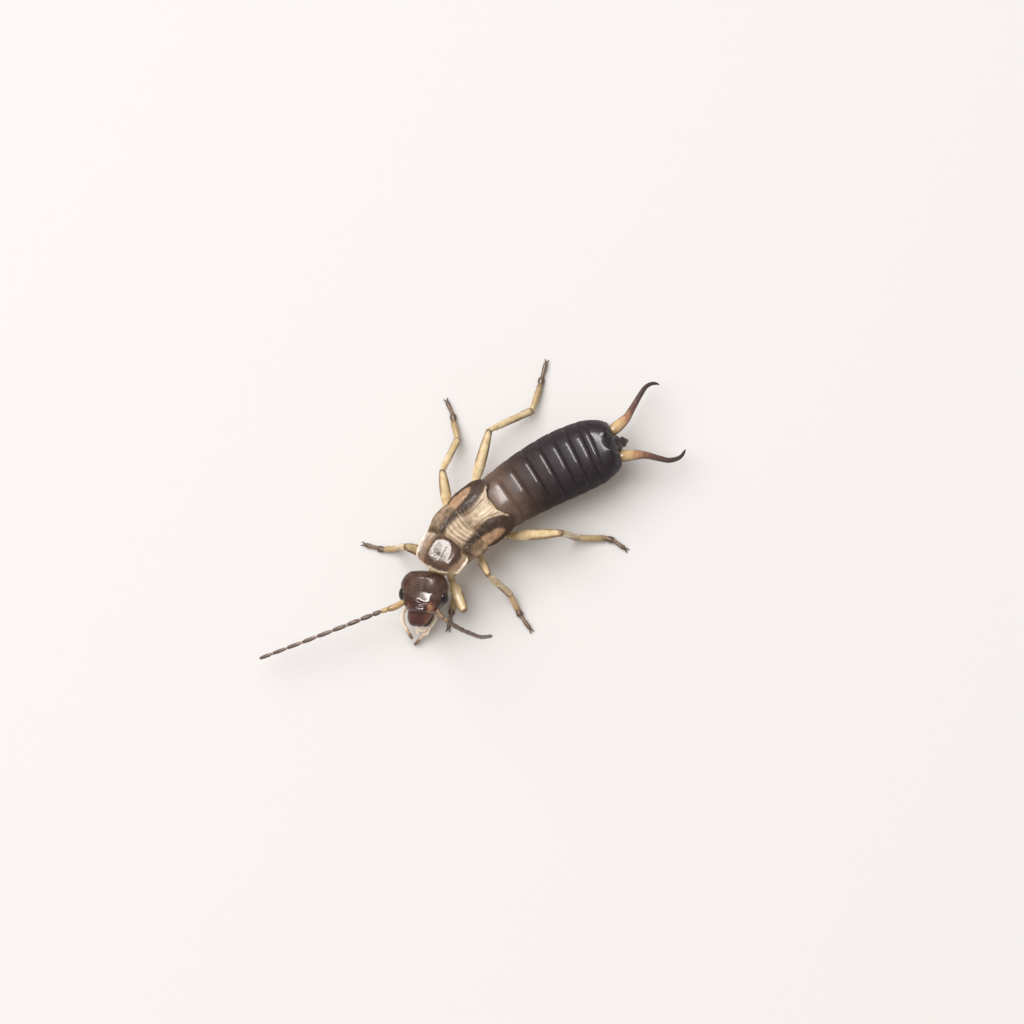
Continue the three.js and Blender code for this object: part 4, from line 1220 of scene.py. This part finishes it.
def eye_tree():
    sizes = {"Size": ("Vector", None), "Height": ("Float", 0.05)}
    tree, given = new_tree("eye facets", sizes)
    ball = node(tree, "GeometryNodeMeshIcoSphere", {"Radius": 1.0, "Subdivisions": 4})
    dual = node(tree, "GeometryNodeDualMesh", {"Mesh": ball.outputs["Mesh"]})
    push = {"Mesh": dual.outputs[0], "Offset Scale": given["Height"], "Individual": True}
    lens = node(tree, "GeometryNodeExtrudeMesh", push, mode="FACES")
    shrink = {"Geometry": lens.outputs["Mesh"], "Selection": lens.outputs["Top"], "Scale": 0.72}
    dome = node(tree, "GeometryNodeScaleElements", shrink)
    sized = {"Geometry": dome.outputs[0], "Scale": given["Size"]}
    scaled = node(tree, "GeometryNodeTransform", sized)
    return close_tree(tree, realized(tree, scaled.outputs[0]), given["Material"])


EYE_TREE = eye_tree()
for name, side in SIDES.items():
    eye = run_tree(f"eye_{name}_dome", EYE_TREE, bpy.data.meshes.new("empty"),
                   size=[size * MM for size in EYE_SIZE], height=0.045, material=EYE_SHELL)
    spot = on_head(EYE["along"], side * (EYE["across"] + EYE_OUT), EYE["up"] + EYE_UP) + SHIFT
    eye.data.transform(Matrix.Translation(Vector(spot * MM)) @ HEAD_TURN.to_4x4())
    finish(eye, "eyes", f"eye_{name}")

# %% [markdown]
# ## Mouth
#
# In front of the head hangs the upper lip, a rounded, slightly notched plate. Behind it
# are two short toothed jaws, then the pale lower lip with its two small feelers, and at
# the sides the long jointed palps that curve in and nearly meet. Each palp is a tube that
# is pinched at its joints.

# %% Upper lip
FACE = 1.54                    # front of the head, where the mouth starts
LIP_HALF = 0.48
LIP_THICK = 0.12
LIP_SUNK = 0.16
LIP_LENGTH = 0.63

lip_t = rounded_rows(0.8, 16, 10, 0.1, 1.5)
lip_angle = np.linspace(0, 2 * np.pi, 48, endpoint=False)
lip_wide = LIP_HALF * smooth([0, 0.3, 0.7, 0.9, 1], [1, 0.94, 0.74, 0.52, 0.18], lip_t)
lip_high = LIP_THICK * smooth([0, 0.2, 0.8, 1], [0.9, 1, 0.7, 0.2], lip_t)
lip_left = power(np.cos(lip_angle), 0.9)[None] * lip_wide[:, None]
lip_share = lip_t[:, None]
lip_up = 0.26 - 0.2 * lip_share - 0.5 * lip_left ** 2
lip_up += np.sin(lip_angle)[None] * lip_high[:, None]
notch = 0.04 * hump(lip_left, 0, 0.08) * lip_share ** 6
lip_forward = FACE - LIP_SUNK + LIP_LENGTH * lip_share - notch
lip_left = lip_left - 0.03 - 0.13 * lip_share
lip_warm = step_up(0.0, 0.36, lip_left + 0.1 * lip_share)
lip_part = part_from_rings(on_head(lip_forward, lip_left, lip_up), along=lip_share, warm=lip_warm)
finish(build("upper_lip", lip_part, MOUTH_SHELL), "mouthparts", "labrum")

# %% Jaws
TEETH = ((0.3, 0.16, 0.035), (0.37, 0.1, 0.03))        # forward of the face, out, girth


def head_line(*points):
    return line_through([on_head(*point) for point in points])


def jaw_part(side):
    line = head_line((FACE - 0.14, side * 0.27, -0.08), (FACE + 0.1, side * 0.29, -0.11),
                     (FACE + 0.32, side * 0.2, -0.15), (FACE + 0.43, side * 0.06, -0.18))
    parts = [tube_part(line, [0, 0.3, 0.7, 1], [0.12, 0.13, 0.09, 0.03], [0.08, 0.08, 0.06, 0.03],
                       dome=(0.06, 0.05), rows=20, sides=20)]
    for reach, out, girth in TEETH:
        tooth = head_line((FACE + reach - 0.05, side * (out + 0.04), -0.15),
                          (FACE + reach + 0.02, side * (out - 0.05), -0.17))
        parts.append(tube_part(tooth, [0, 1], [girth, 0.01], dome=(0.02, 0.01), rows=6, sides=10))
    return merged(parts)


for name, side in SIDES.items():
    jaw = build(f"jaw_{name}", jaw_part(side), MOUTH_SHELL)
    finish(jaw, "mouthparts", f"mandible_{name}")

# %% Lower lip with its palps
LIP_PALP_JOINTS = 3
chin_line = head_line((FACE - 0.5, 0, -0.36), (FACE, 0, -0.36), (FACE + 0.66, -0.06, -0.42))
chin = tube_part(chin_line, [0, 0.4, 0.75, 1], [0.3, 0.32, 0.28, 0.16], [0.07, 0.09, 0.09, 0.06],
                 dome=(0.1, 0.06), rows=24, sides=28)
chin["marks"]["along"] = 0.2 + 0.35 * chin["marks"]["along"]
lip_palps = []
for side in SIDES.values():
    line = head_line((FACE + 0.14, side * 0.2, -0.4), (FACE + 0.4, side * 0.25, -0.42),
                     (FACE + 0.6, side * 0.22, -0.46), (FACE + 0.76, side * 0.13, -0.5))
    at = np.linspace(0, 1, 10)
    girth = 0.062 - 0.012 * at - 0.012 * np.cos(at * LIP_PALP_JOINTS * 2 * np.pi)
    palp = tube_part(line, at, girth, dome=(0.04, 0.05), rows=30, sides=14)
    palp["marks"]["along"] = 0.3 + 0.4 * palp["marks"]["along"]
    lip_palps.append(palp)
lower_lip = build("lower_lip", merged([chin, *lip_palps]), PALE_MOUTH)
finish(lower_lip, "palps", "labium")

# %% Long palps
PALP_LINE = {
    "left": [(1.1, 0.42, -0.3), (1.6, 0.42, -0.45), (1.88, 0.3, -0.55), (2.26, 0.06, -0.64),
             (2.72, -0.3, -0.68)],
    "right": [(1.1, -0.46, -0.3), (1.55, -0.76, -0.32), (1.88, -0.75, -0.35), (2.2, -0.56, -0.38),
              (2.5, -0.33, -0.42)],
}
for name, joints in (("left", 4), ("right", 3)):
    at = np.linspace(0, 1, 8 * joints + 1)
    pinch = np.clip(np.cos(at * joints * 2 * np.pi), 0, 1) ** 4
    girth = (0.09 - 0.025 * at) * (1 - 0.22 * pinch)
    palp = tube_part(head_line(*PALP_LINE[name]), at, girth, dome=(0.05, 0.07), rows=70, sides=20)
    finish(build(f"palp_{name}", palp, PALE_MOUTH), "palps", f"maxillary_palp_{name}")

# %% [markdown]
# ## Feelers: beads on a line
#
# A feeler starts with one long stout joint and one short one. Then come slim, bead-like
# joints, which are all alike but for their size. That is a job for Geometry Nodes: one
# bead is placed on each of a row of points and stretched by the numbers that the point
# carries, so the whole feeler follows if the line or a length is changed.

# %% Tree that threads beads on points
def bead_tree():
    sizes = {"Waist": ("Float", 0.46), "Sides": ("Int", 20)}
    tree, given = new_tree("beads on a line", sizes)

    ends = {"Start": (0, 0, -0.5), "End": (0, 0, 0.5)}
    core = node(tree, "GeometryNodeCurvePrimitiveLine", ends)
    fine = node(tree, "GeometryNodeResampleCurve", {"Curve": core.outputs[0], "Count": 17})
    share = node(tree, "GeometryNodeSplineParameter").outputs["Factor"]
    belly_at = maths(tree, "SUBTRACT", maths(tree, "MULTIPLY", share, 2.0), 1.06)
    eased = maths(tree, "POWER", maths(tree, "ABSOLUTE", belly_at, 0.0), 2.3)
    slim = maths(tree, "SUBTRACT", 1.0, given["Waist"])
    girth = maths(tree, "SUBTRACT", 1.0, maths(tree, "MULTIPLY", eased, slim))
    around = {"Resolution": given["Sides"], "Radius": 0.5}
    skin = {
        "Curve": stored(tree, fine.outputs[0], "along", share), "Scale": girth, "Fill Caps": True,
        "Profile Curve": node(tree, "GeometryNodeCurvePrimitiveCircle", around).outputs[0],
    }
    bead = node(tree, "GeometryNodeCurveToMesh", skin)

    aim = {"Vector": named(tree, "aim", "FLOAT_VECTOR")}
    turned = node(tree, "FunctionNodeAlignRotationToVector", aim, axis="Z")
    points = node(tree, "GeometryNodeMeshToPoints", {"Mesh": given["Geometry"]})
    placed = {
        "Points": points.outputs[0], "Instance": bead.outputs[0],
        "Rotation": turned.outputs[0], "Scale": named(tree, "size", "FLOAT_VECTOR"),
    }
    threaded = node(tree, "GeometryNodeInstanceOnPoints", placed)
    soft = softened(tree, realized(tree, threaded.outputs[0]))
    return close_tree(tree, soft, given["Material"])


BEAD_TREE = bead_tree()

# %% Lines and lengths of the feelers
FEELER_LINE = {
    "right": [on_head(0.9, -0.4, -0.04), (0.42, -5.02, 1.3), (0.23, -5.5, 1.36),
              (-0.4, -7.25, 1.42), (-1.49, -9.98, 1.12)],
    "left": [on_head(0.9, 0.4, 0.0), (1.72, -4.04, 1.5), (2.11, -4.01, 1.66), (2.64, -3.95, 2.2),
             (3.31, -3.82, 3.2), (3.75, -3.77, 4.3), (4.12, -3.61, 5.5)],
}
SCAPE = 0.82
PEDICEL = 0.24
ROOT_REACH = 0.22              # part of the first joint inside the head
BEAD_LENGTHS = [0.31, 0.46, 0.51, 0.54, 0.59, 0.56, 0.57, 0.53, 0.48]
BEAD_GIRTHS = np.linspace(0.18, 0.14, len(BEAD_LENGTHS))
BEAD_OVERLAP = 0.015
MIDDLE_BEADS = 5
# The right feeler lies flat and is seen in full. The left one rises towards the camera and is
# painted darker, as shade.
FEELER_LOOKS = {
    "left": {"hint": np.array([0.0, 1.0, 0.0]), "stout": 0.8, "waist": 0.68, "skin": FEELER_SHADED,
             "dusk": 1},
    "right": {"hint": UP, "stout": 1.0, "waist": 0.46, "skin": FEELER_SKIN, "dusk": 0},
}


def bead_points(line, spans, girths):
    mesh = bpy.data.meshes.new("bead points")
    centres = np.array([place_on(line, (a + b) / 2) for a, b in spans])
    aims = np.array([unit(place_on(line, b) - place_on(line, a)) for a, b in spans])
    sizes = np.array([(g, g, b - a) for (a, b), g in zip(spans, girths)]) * MM
    mesh.from_pydata(((centres + SHIFT) * MM).tolist(), [], [])
    for label, values in (("aim", aims), ("size", sizes)):
        layer = mesh.attributes.new(label, "FLOAT_VECTOR", "POINT")
        layer.data.foreach_set("vector", values.astype(np.float32).ravel())
    return mesh

# %% Base of a feeler: long joint, short joint and collar
def stretch(line, start, end):
    return line_through([place_on(line, start), place_on(line, end)])


def feeler_base(line, look, scape_end, pedicel_end):
    hint = look["hint"]
    cut = line[0][line[1] <= scape_end + 0.02]
    scape_line = line_through(cut[:: max(1, len(cut) // 8)])
    stout = np.array([0.09, 0.1, 0.125, 0.1]) * look["stout"]
    scape = tube_part(scape_line, [0, 0.3, 0.8, 1], stout,
                      dome=(0.04, 0.06), rows=26, sides=24, hint=hint)
    pedicel_line = stretch(line, scape_end - 0.03, pedicel_end)
    pedicel = tube_part(pedicel_line, [0, 0.5, 1], [0.07, 0.095, 0.08],
                        dome=(0.04, 0.04), rows=10, sides=20, hint=hint)
    # The left feeler's base joints get the same painted shade.
    for part in (scape, pedicel):
        mark_all(part, "dusk", look["dusk"])
    collar = tube_part(stretch(line, 0.3, 0.42), [0, 0.5, 1], [0.12, 0.14, 0.12],
                       dome=(0.03, 0.03), rows=8, sides=24, hint=hint)
    return merged([scape, pedicel, collar])

# %% Both feelers
feeler_lines = {name: line_through(FEELER_LINE[name]) for name in SIDES}
for name, line in feeler_lines.items():
    look = FEELER_LOOKS[name]
    scale = line[1][-1] / (sum(BEAD_LENGTHS) + SCAPE + PEDICEL + ROOT_REACH)
    scape_end = (ROOT_REACH + SCAPE) * scale
    pedicel_end = scape_end + PEDICEL * scale
    base = feeler_base(line, look, scape_end, pedicel_end)
    root = build(f"feeler_{name}_base", base, FEELER_ROOT)
    finish(root, "feeler_base", f"antenna_{name}_root")
    ends = np.cumsum([pedicel_end, *[length * scale for length in BEAD_LENGTHS]])
    spans = [(a - BEAD_OVERLAP, b + BEAD_OVERLAP) for a, b in zip(ends[:-1], ends[1:])]
    for label, chosen in (("middle", slice(0, MIDDLE_BEADS)), ("end", slice(MIDDLE_BEADS, None))):
        points = bead_points(line, spans[chosen], BEAD_GIRTHS[chosen])
        beads = run_tree(f"feeler_{name}_{label}_beads", BEAD_TREE, points,
                         material=look["skin"], waist=look["waist"])
        finish(beads, "feelers", f"antenna_{name}_{label}")

# %% [markdown]
# ## Legs
#
# Each leg is a chain: hip, thigh, shin and a foot of three joints with two claws. The
# joints' places are points in space, measured once for this pose. Each length between two
# joints is a tube that is flattened as the real one is, with a darker knee and ankle, and
# the lengths overlap a little, so that no gap shows where the solids keep one.

# %% Joints of the six legs
# Root on the body line; trochanter, knee and ankle in space; three foot joints on the floor.
LEGS = {
    "front_left": ((-2.5, 0.3, 1.2), (0.92, -2.78, 0.78), (2.2, -3.25, 1.1), (1.42, -3.0, 0.32),
                   (1.71, -3.44), (1.8, -3.56), (2.14, -4.0)),
    "front_right": ((-2.5, -0.3, 1.2), (-0.2, -2.66, 0.76), (-1.0, -3.3, 1.5), (-1.3, -3.4, 0.32),
                    (-1.67, -3.81), (-1.82, -3.93), (-2.3, -4.21)),
    "middle_left": ((-1.45, 0.55, 1.2), (0.92, -1.4, 0.78), (1.92, -1.78, 1.8),
                    (2.76, -1.49, 0.32), (3.38, -1.65), (3.55, -1.7), (4.19, -1.78)),
    "middle_right": ((-1.45, -0.55, 1.2), (-0.98, -1.2, 0.8), (-2.28, -0.34, 1.15),
                     (-2.94, 1.0, 0.32), (-3.6, 1.38), (-3.8, 1.52), (-4.35, 1.71)),
    "hind_left": ((-0.5, 0.6, 1.15), (1.1, -0.16, 0.74), (2.57, 1.26, 2.0), (2.84, 1.79, 0.32),
                  (3.57, 2.64), (3.76, 2.76), (4.3, 2.88)),
    "hind_right": ((-0.5, -0.6, 1.15), (-1.04, 0.08, 0.74), (-2.25, 1.98, 1.2),
                   (-1.9, 3.81, 0.32), (-2.48, 4.77), (-2.62, 4.95), (-2.98, 5.5)),
}


def joint_marks(part, start, end):
    along = part["marks"]["along"]
    part["marks"]["joint"] = np.maximum(step_up(start, 0.0, along) * 0.7, step_up(end, 1.0, along))
    # The sides of each length are marked for painted shade.
    part["marks"]["edge"] = edge_shade_of(part) * step_up(0.2, 0.5, along)
    return part

# %% Hip, thigh and shin
def hip_part(root, trochanter):
    hip = tube_part(line_through([root, trochanter]), [0, 0.4, 0.85, 1],
                    [0.26, 0.24, 0.16, 0.13], [0.24, 0.22, 0.15, 0.12],
                    dome=(0.1, 0.1), rows=20, sides=28)
    return joint_marks(hip, 0.05, 0.94)


def thigh_part(trochanter, knee, girth):
    aim = unit(knee - trochanter)
    ring_line = line_through([trochanter - aim * 0.12, trochanter + aim * 0.14])
    ring = tube_part(ring_line, [0, 0.5, 1], [0.115, 0.135, 0.12], [0.1, 0.12, 0.11],
                     dome=(0.05, 0.05), rows=10, sides=24)
    line = line_through([trochanter + aim * 0.06, knee + aim * 0.05])
    half = np.array([0.1, 0.15, 0.205, 0.185, 0.135, 0.12]) * girth
    thigh = tube_part(line, [0, 0.12, 0.4, 0.7, 0.92, 1], half,
                      [0.09, 0.12, 0.15, 0.14, 0.12, 0.11], dome=(0.05, 0.09), rows=40, sides=32)
    return merged([joint_marks(ring, 0.1, 0.9), joint_marks(thigh, 0.04, 0.85)])


def shin_part(knee, ankle):
    aim = unit(ankle - knee)
    line = line_through([knee - aim * 0.02, (knee + ankle) / 2 + UP * 0.02, ankle + aim * 0.03])
    shin = tube_part(line, [0, 0.08, 0.3, 0.7, 0.93, 1], [0.09, 0.105, 0.13, 0.135, 0.145, 0.12],
                     [0.08, 0.1, 0.115, 0.12, 0.13, 0.11], dome=(0.06, 0.06), rows=36, sides=28)
    parts = [joint_marks(shin, 0.1, 0.84)]
    sideways = unit(np.cross(aim, UP))
    for hand in (-1, 1):
        root = ankle - aim * 0.04 + sideways * hand * 0.08
        line = line_through([root, root + aim * 0.14 + sideways * hand * 0.05])
        spur = tube_part(line, [0, 1], [0.022, 0.006], dome=(0.01, 0.005), rows=6, sides=8)
        mark_all(spur, "joint", 1)
        parts.append(spur)
    return merged(parts)

# %% Foot with three joints and two claws
FOOT_LEVELS = (0.12, 0.1, 0.085)


def foot_joints(ankle, first, second, tip):
    aim = unit(first - ankle)
    line = line_through([ankle - aim * 0.03, ankle * 0.4 + first * 0.6 + UP * 0.01,
                         first + aim * 0.02])
    one = tube_part(line, [0, 0.2, 0.8, 1], [0.09, 0.11, 0.115, 0.1], [0.085, 0.1, 0.105, 0.09],
                    dome=(0.05, 0.05), rows=26, sides=24)
    aim = unit(second - first)
    line = line_through([first - aim * 0.05, second + aim * 0.07])
    two = tube_part(line, [0, 0.6, 1], [0.08, 0.125, 0.1], [0.07, 0.09, 0.07],
                    dome=(0.05, 0.05), rows=12, sides=24)
    aim = unit(tip - second)
    line = line_through([second - aim * 0.06, (second + tip) / 2 + UP * 0.015, tip])
    three = tube_part(line, [0, 0.3, 0.85, 1], [0.055, 0.065, 0.08, 0.07],
                      [0.055, 0.062, 0.075, 0.065], dome=(0.04, 0.05), rows=24, sides=20)
    for part, low, span in ((one, 0.0, 0.45), (two, 0.5, 0.15), (three, 0.66, 0.26)):
        part["marks"]["along"] = low + span * part["marks"]["along"]
    return [one, two, three]


def claw_part(tip, aim, sideways):
    line = line_through([tip - aim * 0.03, tip + aim * 0.06 + sideways * 0.04,
                         tip + aim * 0.12 + sideways * 0.07 - UP * 0.03,
                         tip + aim * 0.16 + sideways * 0.07 - UP * 0.07])
    claw = tube_part(line, [0, 0.5, 1], [0.034, 0.022, 0.007], [0.04, 0.026, 0.007],
                     dome=(0.02, 0.01), rows=14, sides=12)
    mark_all(claw, "along", 1)
    return claw


def foot_part(ankle, *places):
    first, second, tip = [np.array([*place, z]) for place, z in zip(places, FOOT_LEVELS)]
    aim = unit(tip - second)
    sideways = np.cross(aim, UP)
    claws = [claw_part(tip, aim, sideways * hand) for hand in (-1, 1)]
    foot = merged(foot_joints(ankle, first, second, tip) + claws)
    foot["vertices"][:, 2] = np.maximum(foot["vertices"][:, 2], 0.0)
    return foot

# %% All six legs
THIGH_GIRTH = {"middle_left": 0.78, "front_left": 1.12}
HAIRY = {"coxa": 0.3, "femur": 0.5, "tibia": 1.0, "tarsus": 2.0}
leg_parts = []
for name, (root, trochanter, knee, ankle, *foot) in LEGS.items():
    trochanter, knee, ankle = np.array(trochanter), np.array(knee), np.array(ankle)
    made = {
        "coxa": hip_part(on_body(*root), trochanter),
        "femur": thigh_part(trochanter, knee, THIGH_GIRTH.get(name, 1.0)),
        "tibia": shin_part(knee, ankle),
        "tarsus": foot_part(ankle, *foot),
    }
    for label, part in made.items():
        material, slot = (FOOT_SKIN, "feet") if label == "tarsus" else (LEG_SKIN, "leg_skin")
        part["marks"]["hairy"] = HAIRY[label] * (part["vertices"][:, 2] > 0.1)
        leg_parts.append(part)
        finish(build(f"leg_{name}_{label}", part, material), slot, f"{label}_{name}")

# %% [markdown]
# ## Bristles
#
# Legs, feelers and the rear edges of the rings carry short fine bristles that lie back
# along the part. Strand hair would be lost when the model is handed on, so each bristle
# is a thin bent cone of a few faces. Geometry Nodes scatters points on a copy of the
# skin, stands one bristle on each and turns it by two directions that the skin carries:
# its own normal and the way in which the part runs.

# %% Tree that scatters bristles
BRISTLE_MAP = 0.003            # width of one bristle's place on the map of its skin


def bristle_shape(tree, girth):
    bend = {"Start": (0, 0, -0.03), "Middle": (0, 0.3, 0.34), "End": (0, 1.0, 0.42)}
    bend["Resolution"] = 4
    core = node(tree, "GeometryNodeCurveQuadraticBezier", bend)
    share = node(tree, "GeometryNodeSplineParameter").outputs["Factor"]
    taper = maths(tree, "SUBTRACT", 1.0, maths(tree, "MULTIPLY", share, 0.92))
    ring = node(tree, "GeometryNodeCurvePrimitiveCircle", {"Resolution": 3, "Radius": girth})
    skin = {
        "Curve": stored(tree, core.outputs[0], "along", share),
        "Profile Curve": stored(tree, ring.outputs[0], "around", share),
        "Scale": taper, "Fill Caps": True,
    }
    return node(tree, "GeometryNodeCurveToMesh", skin).outputs[0]


def lie_along(tree, normal):
    flow_parts = {axis: named(tree, "flow_" + axis.lower()) for axis in "XYZ"}
    flow = node(tree, "ShaderNodeCombineXYZ", flow_parts)
    upright = node(tree, "FunctionNodeAlignRotationToVector", {"Vector": normal}, axis="Z")
    lie = {"Rotation": upright.outputs[0], "Vector": flow.outputs[0]}
    turned = node(tree, "FunctionNodeAlignRotationToVector", lie, axis="Y", pivot_axis="Z")
    return turned.outputs[0]


def bristle_tree():
    sizes = {"Density": ("Float", 1.0), "Length": ("Float", 0.1), "Girth": ("Float", 0.05),
             "Seed": ("Int", 1)}
    tree, given = new_tree("bristles", sizes)
    density = maths(tree, "MULTIPLY", given["Density"], named(tree, "hairy"))
    spread_out = {"Mesh": given["Geometry"], "Density": density, "Seed": given["Seed"]}
    roots = node(tree, "GeometryNodeDistributePointsOnFaces", spread_out)
    chance = {2: 0.6, 3: 1.25, "Seed": given["Seed"]}
    longer = node(tree, "FunctionNodeRandomValue", chance, data_type="FLOAT").outputs[1]
    placed = {
        "Points": roots.outputs["Points"], "Instance": bristle_shape(tree, given["Girth"]),
        "Rotation": lie_along(tree, roots.outputs["Normal"]),
        "Scale": maths(tree, "MULTIPLY", longer, given["Length"]),
    }
    planted = node(tree, "GeometryNodeInstanceOnPoints", placed)
    whole = realized(tree, planted.outputs[0])
    own = node(tree, "ShaderNodeCombineXYZ", {
        "X": maths(tree, "MULTIPLY", named(tree, "around"), BRISTLE_MAP),
        "Y": maths(tree, "MULTIPLY", named(tree, "along"), BRISTLE_MAP),
    })
    both = {0: named(tree, "skin_map", "FLOAT_VECTOR"), 1: own.outputs[0]}
    spot = node(tree, "ShaderNodeVectorMath", both, operation="ADD")
    mapped = stored(tree, whole, "OFBake", spot.outputs[0], "FLOAT2", "CORNER")
    return close_tree(tree, softened(tree, mapped), given["Material"])


BRISTLE_TREE = bristle_tree()

# %% Skins to grow on, unwrapped
def bristle_finish(name, root, tip):
    material, tree, surface = shader(name, roughness=0.45, coat=0.0)
    colour = ramp(tree, mark(tree, "along"), (0.0, root), (1.0, tip))
    tree.links.new(colour, surface.inputs["Base Color"])
    return material


BRISTLE_PALE = bristle_finish("pale bristles", "#8f734c", "#c9b189")
BRISTLE_DARK = bristle_finish("dark bristles", "#3a2f2b", "#7b6a60")


def ground_mesh(name, parts):
    ground = build(name, merged(parts), BRISTLE_PALE)
    bpy.ops.object.select_all(action="DESELECT")
    bpy.context.view_layer.objects.active = ground
    ground.select_set(True)
    ground.data.uv_layers.new(name="skin_map")
    bpy.ops.object.mode_set(mode="EDIT")
    bpy.ops.mesh.select_all(action="SELECT")
    bpy.ops.uv.smart_project(angle_limit=math.radians(60), island_margin=0.002)
    bpy.ops.object.mode_set(mode="OBJECT")
    mesh = ground.data
    bpy.data.objects.remove(ground)
    return mesh

# %% Bristles of legs, feelers and abdomen
feeler_grounds = []
for line in feeler_lines.values():
    ground = tube_part(line, [0, 0.15, 1], [0.06, 0.075, 0.055], rows=60, sides=12)
    ground["marks"]["hairy"] = step_up(0.15, 0.2, ground["marks"]["along"])
    feeler_grounds.append(ground)
BRISTLE_GIRTH = 0.055          # as a share of the length
FIRST_SEED = 3
GROUNDS = {                    # parts, bristles on a square millimetre, length, finish, slot
    "leg_bristles": (leg_parts, 38, 0.11, BRISTLE_PALE, "leg_skin"),
    "feeler_bristles": (feeler_grounds, 90, 0.07, BRISTLE_DARK, "feelers"),
    "abdomen_bristles": (abdomen_parts, 7, 0.1, BRISTLE_DARK, "abdomen_shell"),
}
for seed, (name, row) in enumerate(GROUNDS.items(), FIRST_SEED):
    parts, per_square_mm, length, material, slot = row
    ground = ground_mesh(name + " ground", parts)
    bristles = run_tree(name, BRISTLE_TREE, ground, density=per_square_mm / MM ** 2,
                        length=length * MM, girth=BRISTLE_GIRTH, seed=seed, material=material)
    print(name, "maps:", [layer.name for layer in bristles.data.uv_layers])
    finish(bristles, slot)

# %% [markdown]
# ## Floor, light and camera
#
# A plain pale floor takes the place of a studio table. The light is split in two, so that
# shade and shine can be set apart. A large soft lamp from the upper left of the picture
# gives the light and the soft shadows, but no reflections. A long narrow lamp gives only
# the streaks of shine, and a warm pale sky fills the rest. The camera looks down steeply
# from in front of the head, through a long lens, so that near and far parts keep their
# proportions.

# %% Floor
FLOOR_REACH = 0.5              # metres to each side
floor_mesh = bpy.data.meshes.new("floor")
corners = [(FLOOR_REACH * x, FLOOR_REACH * y, 0) for x, y in ((-1, -1), (1, -1), (1, 1), (-1, 1))]
floor_mesh.from_pydata(corners, [], [(0, 1, 2, 3)])
floor = linked("floor", floor_mesh)
floor_look, _, floor_surface = shader("pale floor", 0.8, coat=0.0, specular=0.1)
floor_surface.inputs["Base Color"].default_value = paint("#d6d3d1")
floor_mesh.materials.append(floor_look)

# %% Camera at the photo's angle
AZIMUTH = math.radians(48)
ELEVATION = math.radians(78)
PIXELS_PER_MM = 27
LENS = 100
SENSOR = 36
DISTANCE = 1024 / PIXELS_PER_MM * LENS / SENSOR
AIM = np.array([0.592, 0.559, 1.0])            # what the middle of the picture shows
target = (AIM + SHIFT) * MM
towards = np.array([
    math.sin(AZIMUTH) * math.cos(ELEVATION),
    -math.cos(AZIMUTH) * math.cos(ELEVATION),
    math.sin(ELEVATION),
])


def looking_at_target(thing, place):
    thing.location = Vector(place)
    thing.rotation_euler = Vector(unit(target - place)).to_track_quat("-Z", "Y").to_euler()


camera_data = bpy.data.cameras.new("camera")
camera_data.lens = LENS
camera_data.sensor_width = SENSOR
camera_data.clip_start = 0.001
camera = linked("camera", camera_data)
looking_at_target(camera, target + towards * DISTANCE * MM)
bpy.context.scene.camera = camera

# %% Lights
view_right = np.array([math.cos(AZIMUTH), math.sin(AZIMUTH), 0])
view_up = np.cross(towards, view_right)


def soft_lamp(name, place, size, power, colour):
    data = bpy.data.lights.new(name, "AREA")
    data.shape = "RECTANGLE"
    data.size = size[0] * MM
    data.size_y = size[1] * MM
    data.energy = power
    data.color = colour
    lamp = linked(name, data)
    right, up, out = place
    looking_at_target(lamp, target + (view_right * right + view_up * up + towards * out) * MM)
    return lamp


key = soft_lamp("key lamp", (-210, 200, 370), (560, 480), 3.45, (0.99, 0.99, 1.0))
key.visible_glossy = False
streak = soft_lamp("streak lamp", (-18, 52, 92), (14, 80), 0.135, (1.0, 0.955, 0.94))
streak.visible_diffuse = False
world = bpy.data.worlds.new("sky")
bpy.context.scene.world = world
world.use_nodes = True
sky = world.node_tree.nodes["Background"]
sky.inputs["Color"].default_value = (1.0, 0.95, 0.9, 1.0)
sky.inputs["Strength"].default_value = 0.46
bpy.context.scene.view_settings.view_transform = "Standard"
print("lamps:", [lamp.name for lamp in (key, streak)])
